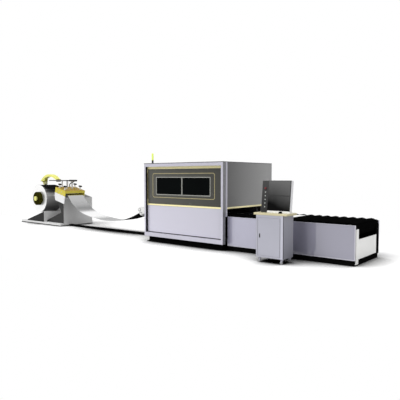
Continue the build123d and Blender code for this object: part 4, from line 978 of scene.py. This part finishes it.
class LASER_OT_console(bpy.types.Operator):
    """Finish the console and its buttons, and build its screens and door pull"""

    bl_idname = "laser_line.console"
    bl_label = "Console"

    # Edges of the masks on the cabinet, the door, its pull and the housing's face
    SIDE_LINE_Y = -1.694
    CORNER_X = 3.296
    OPENING_X = (2.735, 3.297)
    OPENING_BACK = -1.66
    OPENING_Z = (0.13, 0.978)
    DOOR_MIDDLE = (3.016, 0.553)
    DOOR_RIM = (0.2655, 0.4065)
    PULL_X = (2.780, 2.812)
    PULL_Z = (0.523, 0.619)
    FACE_DEPTH = -0.0065
    LIP_X = 2.868
    LIP_TOP = 1.101
    HEAD_BAND = 1.741

    # Screens in the housing's own axes: foot and head, sides, back and front
    SCREENS = {"lower": (0.048, 0.353), "upper": (0.369, 0.676)}
    SCREEN_SIDES = (0.152, 0.674)
    SCREEN_DEPTHS = (-0.0038, -0.001)

    def execute(self, context):
        body = tuple(settings().console_colour)
        paint(self.cabinet_paint(body), "console_cabinet")
        paint(self.door_paint(body), "console_door")
        desk_colour = tuple(settings().desk_colour)
        desk = enamel("desk_cream", desk_colour, shade=0.96, roughness=0.3, coat=0.3)
        desk.set("Coat Roughness", 0.04)
        paint(desk, "desk_top")
        paint(self.housing_paint(), "control_housing")
        self.screens()
        paint(moulded("estop_red", (0.13, 0.003, 0.006), roughness=0.35), "estop_button")
        for number in range(1, 6):
            button = moulded(f"button_cap_{number}", (0.42, 0.44, 0.42), roughness=0.3)
            paint(button, f"push_button_{number}")
        mouse = moulded("mouse_black", grey(0.006), roughness=0.5, Specular_IOR_Level=0.03)
        paint(mouse, "mouse")
        tyre = moulded("caster_grey", (0.30, 0.30, 0.31), roughness=0.6)
        paint(tyre, *(f"caster_wheel_{number}" for number in range(1, 5)))
        return {"FINISHED"}

    def cabinet_paint(self, body):
        """Light front with a painted highlight at its right corner, painted shade on the sides
        with a painted shadow line at their front edge, and painted shade in black in the doorway.
        """
        cabinet = enamel("console_lavender", body, shade=0.96, coat=0.1)
        x, y, z = cabinet.axes()
        front = CONSOLE_FRONT + SKIN
        side = (abs(x - CONSOLE_X) > CONSOLE_HALF - SKIN) * (z > CONSOLE_BOTTOM)
        shade = cabinet.tint(cabinet.span(z, 0.2, 0.95), scaled(body, 0.55), scaled(body, 0.8))
        opening = y.within(front, self.OPENING_BACK)
        opening *= x.within(*self.OPENING_X) * z.within(*self.OPENING_Z)
        # Painted shade on the sides, darker towards the floor, with a painted shadow line at their
        # front edge.
        cabinet.cover(side, shade)
        cabinet.cover(side * (y < self.SIDE_LINE_Y), (0.04, 0.04, 0.048))
        # Painted highlight along the front's right corner, and painted shade in black in the
        # doorway.
        cabinet.cover((y < front) * (x > self.CORNER_X), scaled(body, 1.2))
        cabinet.cover(opening, grey(0.015))
        return cabinet

    def door_paint(self, body):
        """Cabinet colour with a painted shadow darkening the rim and a black recess for the pull.
        """
        door = enamel("door_lavender", body, shade=0.96, coat=0.1)
        x, y, z = door.axes()
        middle_x, middle_z = self.DOOR_MIDDLE
        half_x, half_z = self.DOOR_RIM
        rim = (abs(x - middle_x) > half_x) + (abs(z - middle_z) > half_z)
        recess = (y > CONSOLE_FRONT + HAIR) * x.within(*self.PULL_X) * z.within(*self.PULL_Z)
        # Painted shadow: the gap round the door darkens its rim.
        door.cover(rim, scaled(body, 0.3))
        door.cover(recess, grey(0.006))
        return door

    def housing_paint(self):
        """White sides, and a dark face that grows lighter towards its head."""
        shell = matt("housing_white", (0.86, 0.86, 0.88), shade=0.97)
        x, y, z = shell.axes()
        depth = (z - HOUSING_Z) * math.sin(LEAN) - (y - HOUSING_Y) * math.cos(LEAN)
        face = depth > self.FACE_DEPTH
        shade = shell.tint(shell.span(z, 1.1, 1.75), (0.030, 0.030, 0.031), grey(0.060))
        light_lip = face * (z < self.LIP_TOP) * (x > self.LIP_X)
        shell.cover(face, shade)
        shell.cover(light_lip, grey(0.80))
        shell.cover(face * (z > self.HEAD_BAND), grey(0.28))
        return shell

    def screens(self):
        """Two glass screens in the housing's recesses and a black cup in the door's pull."""
        glass = Finish(
            "screen_glass", (0.010, 0.011, 0.012), roughness=0.12, Specular_IOR_Level=0.03)
        x, _, z = glass.axes()
        # Painted reflection: the glass lighter towards the top and the right.
        reflection_rise = z + 0.2 * glass.noise(2.2, detail=4.0, roughness=0.6) + 0.25 * x
        glass.dye(glass.tint(glass.span(reflection_rise, 2.05, 2.75), grey(0.004), grey(0.17)))
        left, right = self.SCREEN_SIDES
        back, front = self.SCREEN_DEPTHS
        for name, (foot, head) in self.SCREENS.items():
            slab(f"screen_{name}", (left, foot, back), (right, head, front),
                 glass, bevel=0.001, matrix=HOUSING)
        pull = moulded("pull_black", grey(0.006), roughness=0.4)
        slab("door_pull", (2.784, -1.7185, 0.528), (2.808, -1.7165, 0.614),
             pull, "console_door", bevel=0.0005)


class LASER_OT_stage(bpy.types.Operator):
    """Set the floor, lights, world and camera"""

    bl_idname = "laser_line.stage"
    bl_label = "Stage"

    # The floor's tone and place, its contact shade, and how far it stays solid
    FLOOR_LEVEL = 0.93
    FLOOR_HALF = 60.0
    FLOOR_PLACE = (-2.0, 0.0, -0.002)
    SHADE_DISTANCE = 0.9
    SHADE_REACH = (0.35, 0.90)
    GLOW = 0.2
    SOLID_X = -0.3
    SOLID_HALF = (6.9, 1.7)
    FADE = (0.8, 3.2)

    def execute(self, context):
        scene = context.scene
        bm = bmesh.new()
        bmesh.ops.create_grid(bm, x_segments=1, y_segments=1, size=self.FLOOR_HALF)
        mesh = bpy.data.meshes.new("studio_floor")
        bm.to_mesh(mesh)
        bm.free()
        floor = bpy.data.objects.new("studio_floor", mesh)
        floor.location = self.FLOOR_PLACE
        scene.collection.objects.link(floor)
        mesh.materials.append(self.floor_finish().material)
        self.white_world(scene)
        for name, (heading, angle, strength) in SUNS.items():
            data = bpy.data.lights.new(name, "SUN")
            data.energy = strength
            data.angle = math.radians(angle)
            lamp = bpy.data.objects.new(name, data)
            lamp.rotation_euler = Vector(heading).to_track_quat("-Z", "Y").to_euler()
            scene.collection.objects.link(lamp)

        data = bpy.data.cameras.new("photo_camera")
        data.sensor_width = CAMERA_SENSOR
        data.sensor_height = CAMERA_SENSOR
        data.lens = CAMERA_LENS
        data.clip_end = 200.0
        camera = bpy.data.objects.new("photo_camera", data)
        camera.location = CAMERA_PLACE
        camera.rotation_euler = Euler([math.radians(angle) for angle in CAMERA_TURN])
        scene.collection.objects.link(camera)
        scene.camera = camera
        scene.view_settings.view_transform = "Standard"
        return {"FINISHED"}

    def floor_finish(self):
        """Pale floor that takes the cast shadow and a painted contact shade near the line, and
        fades into the white behind it.
        """
        white = grey(self.FLOOR_LEVEL)
        pale = Finish(
            "floor_white", white, roughness=0.9, Emission_Strength=1.0,
            Specular_IOR_Level=0.0)
        camera_ray = pale.node("ShaderNodeLightPath", out="Is Camera Ray")
        open_sky = pale.node(
            "ShaderNodeAmbientOcclusion", {"samples": 8}, {"Distance": self.SHADE_DISTANCE},
            out=1)
        # Painted shade: occlusion darkens the floor's colour and glow near the line.
        contact = pale.span(open_sky, *self.SHADE_REACH)
        pale.dye(pale.tint(contact, grey(0.0), white))
        pale.set("Emission Color", contact * self.GLOW * camera_ray)

        x, y, _ = pale.axes()
        half_x, half_y = self.SOLID_HALF
        over_x = pale.maths("MAXIMUM", abs(x - self.SOLID_X) - half_x, 0.0)
        over_y = pale.maths("MAXIMUM", abs(y) - half_y, 0.0)
        away = pale.distance(over_x, over_y)
        clear = pale.node("ShaderNodeBsdfTransparent")
        surface = pale.node("ShaderNodeMixShader", None, {
            0: pale.span(away, *self.FADE),
            1: Mix(pale, pale.shader.outputs[0]),
            2: clear,
        })
        pale.fill(pale.tree.nodes["Material Output"].inputs["Surface"], surface)
        return pale

    def white_world(self, scene):
        """Soft light for the object, and plain white where the camera, gloss or glass looks."""
        world = bpy.data.worlds.new("studio_world")
        world.use_nodes = True
        scene.world = world
        nodes, links = world.node_tree.nodes, world.node_tree.links
        soft = nodes["Background"]
        white = nodes.new("ShaderNodeBackground")
        for background in (soft, white):
            background.inputs["Color"].default_value = (1.0, 1.0, 1.0, 1.0)
        soft.inputs["Strength"].default_value = SOFT_LIGHT
        path = nodes.new("ShaderNodeLightPath")
        seen = path.outputs["Is Camera Ray"]
        for ray in ("Is Glossy Ray", "Is Transmission Ray"):
            either = nodes.new("ShaderNodeMath")
            either.operation = "MAXIMUM"
            links.new(seen, either.inputs[0])
            links.new(path.outputs[ray], either.inputs[1])
            seen = either.outputs[0]
        switch = nodes.new("ShaderNodeMixShader")
        links.new(seen, switch.inputs[0])
        links.new(soft.outputs[0], switch.inputs[1])
        links.new(white.outputs[0], switch.inputs[2])
        links.new(switch.outputs[0], nodes["World Output"].inputs["Surface"])


class LASER_PT_panel(bpy.types.Panel):
    """Lists the line's settings and operators"""

    bl_idname = "LASER_PT_panel"
    bl_label = "Laser line"
    bl_space_type = "VIEW_3D"
    bl_region_type = "UI"
    bl_category = "Laser line"

    def draw(self, context):
        for name in LaserLineSettings.__annotations__:
            self.layout.prop(settings(), name)
        for operator in OPERATORS:
            self.layout.operator(operator.bl_idname)


OPERATORS = (
    LASER_OT_cabin,
    LASER_OT_lamp,
    LASER_OT_machine,
    LASER_OT_table,
    LASER_OT_strip,
    LASER_OT_decoiler,
    LASER_OT_leveller,
    LASER_OT_console,
    LASER_OT_stage,
)
CLASSES = (LaserLineSettings, *OPERATORS, LASER_PT_panel)


def register():
    for cls in CLASSES:
        bpy.utils.register_class(cls)
    bpy.types.Scene.laser_line = bpy.props.PointerProperty(type=LaserLineSettings)


def unregister():
    del bpy.types.Scene.laser_line
    for cls in reversed(CLASSES):
        bpy.utils.unregister_class(cls)


def main():
    register()
    for operator in OPERATORS:
        group, name = operator.bl_idname.split(".")
        getattr(getattr(bpy.ops, group), name)()
    bpy.context.view_layer.update()


if __name__ == "__main__":
    main()
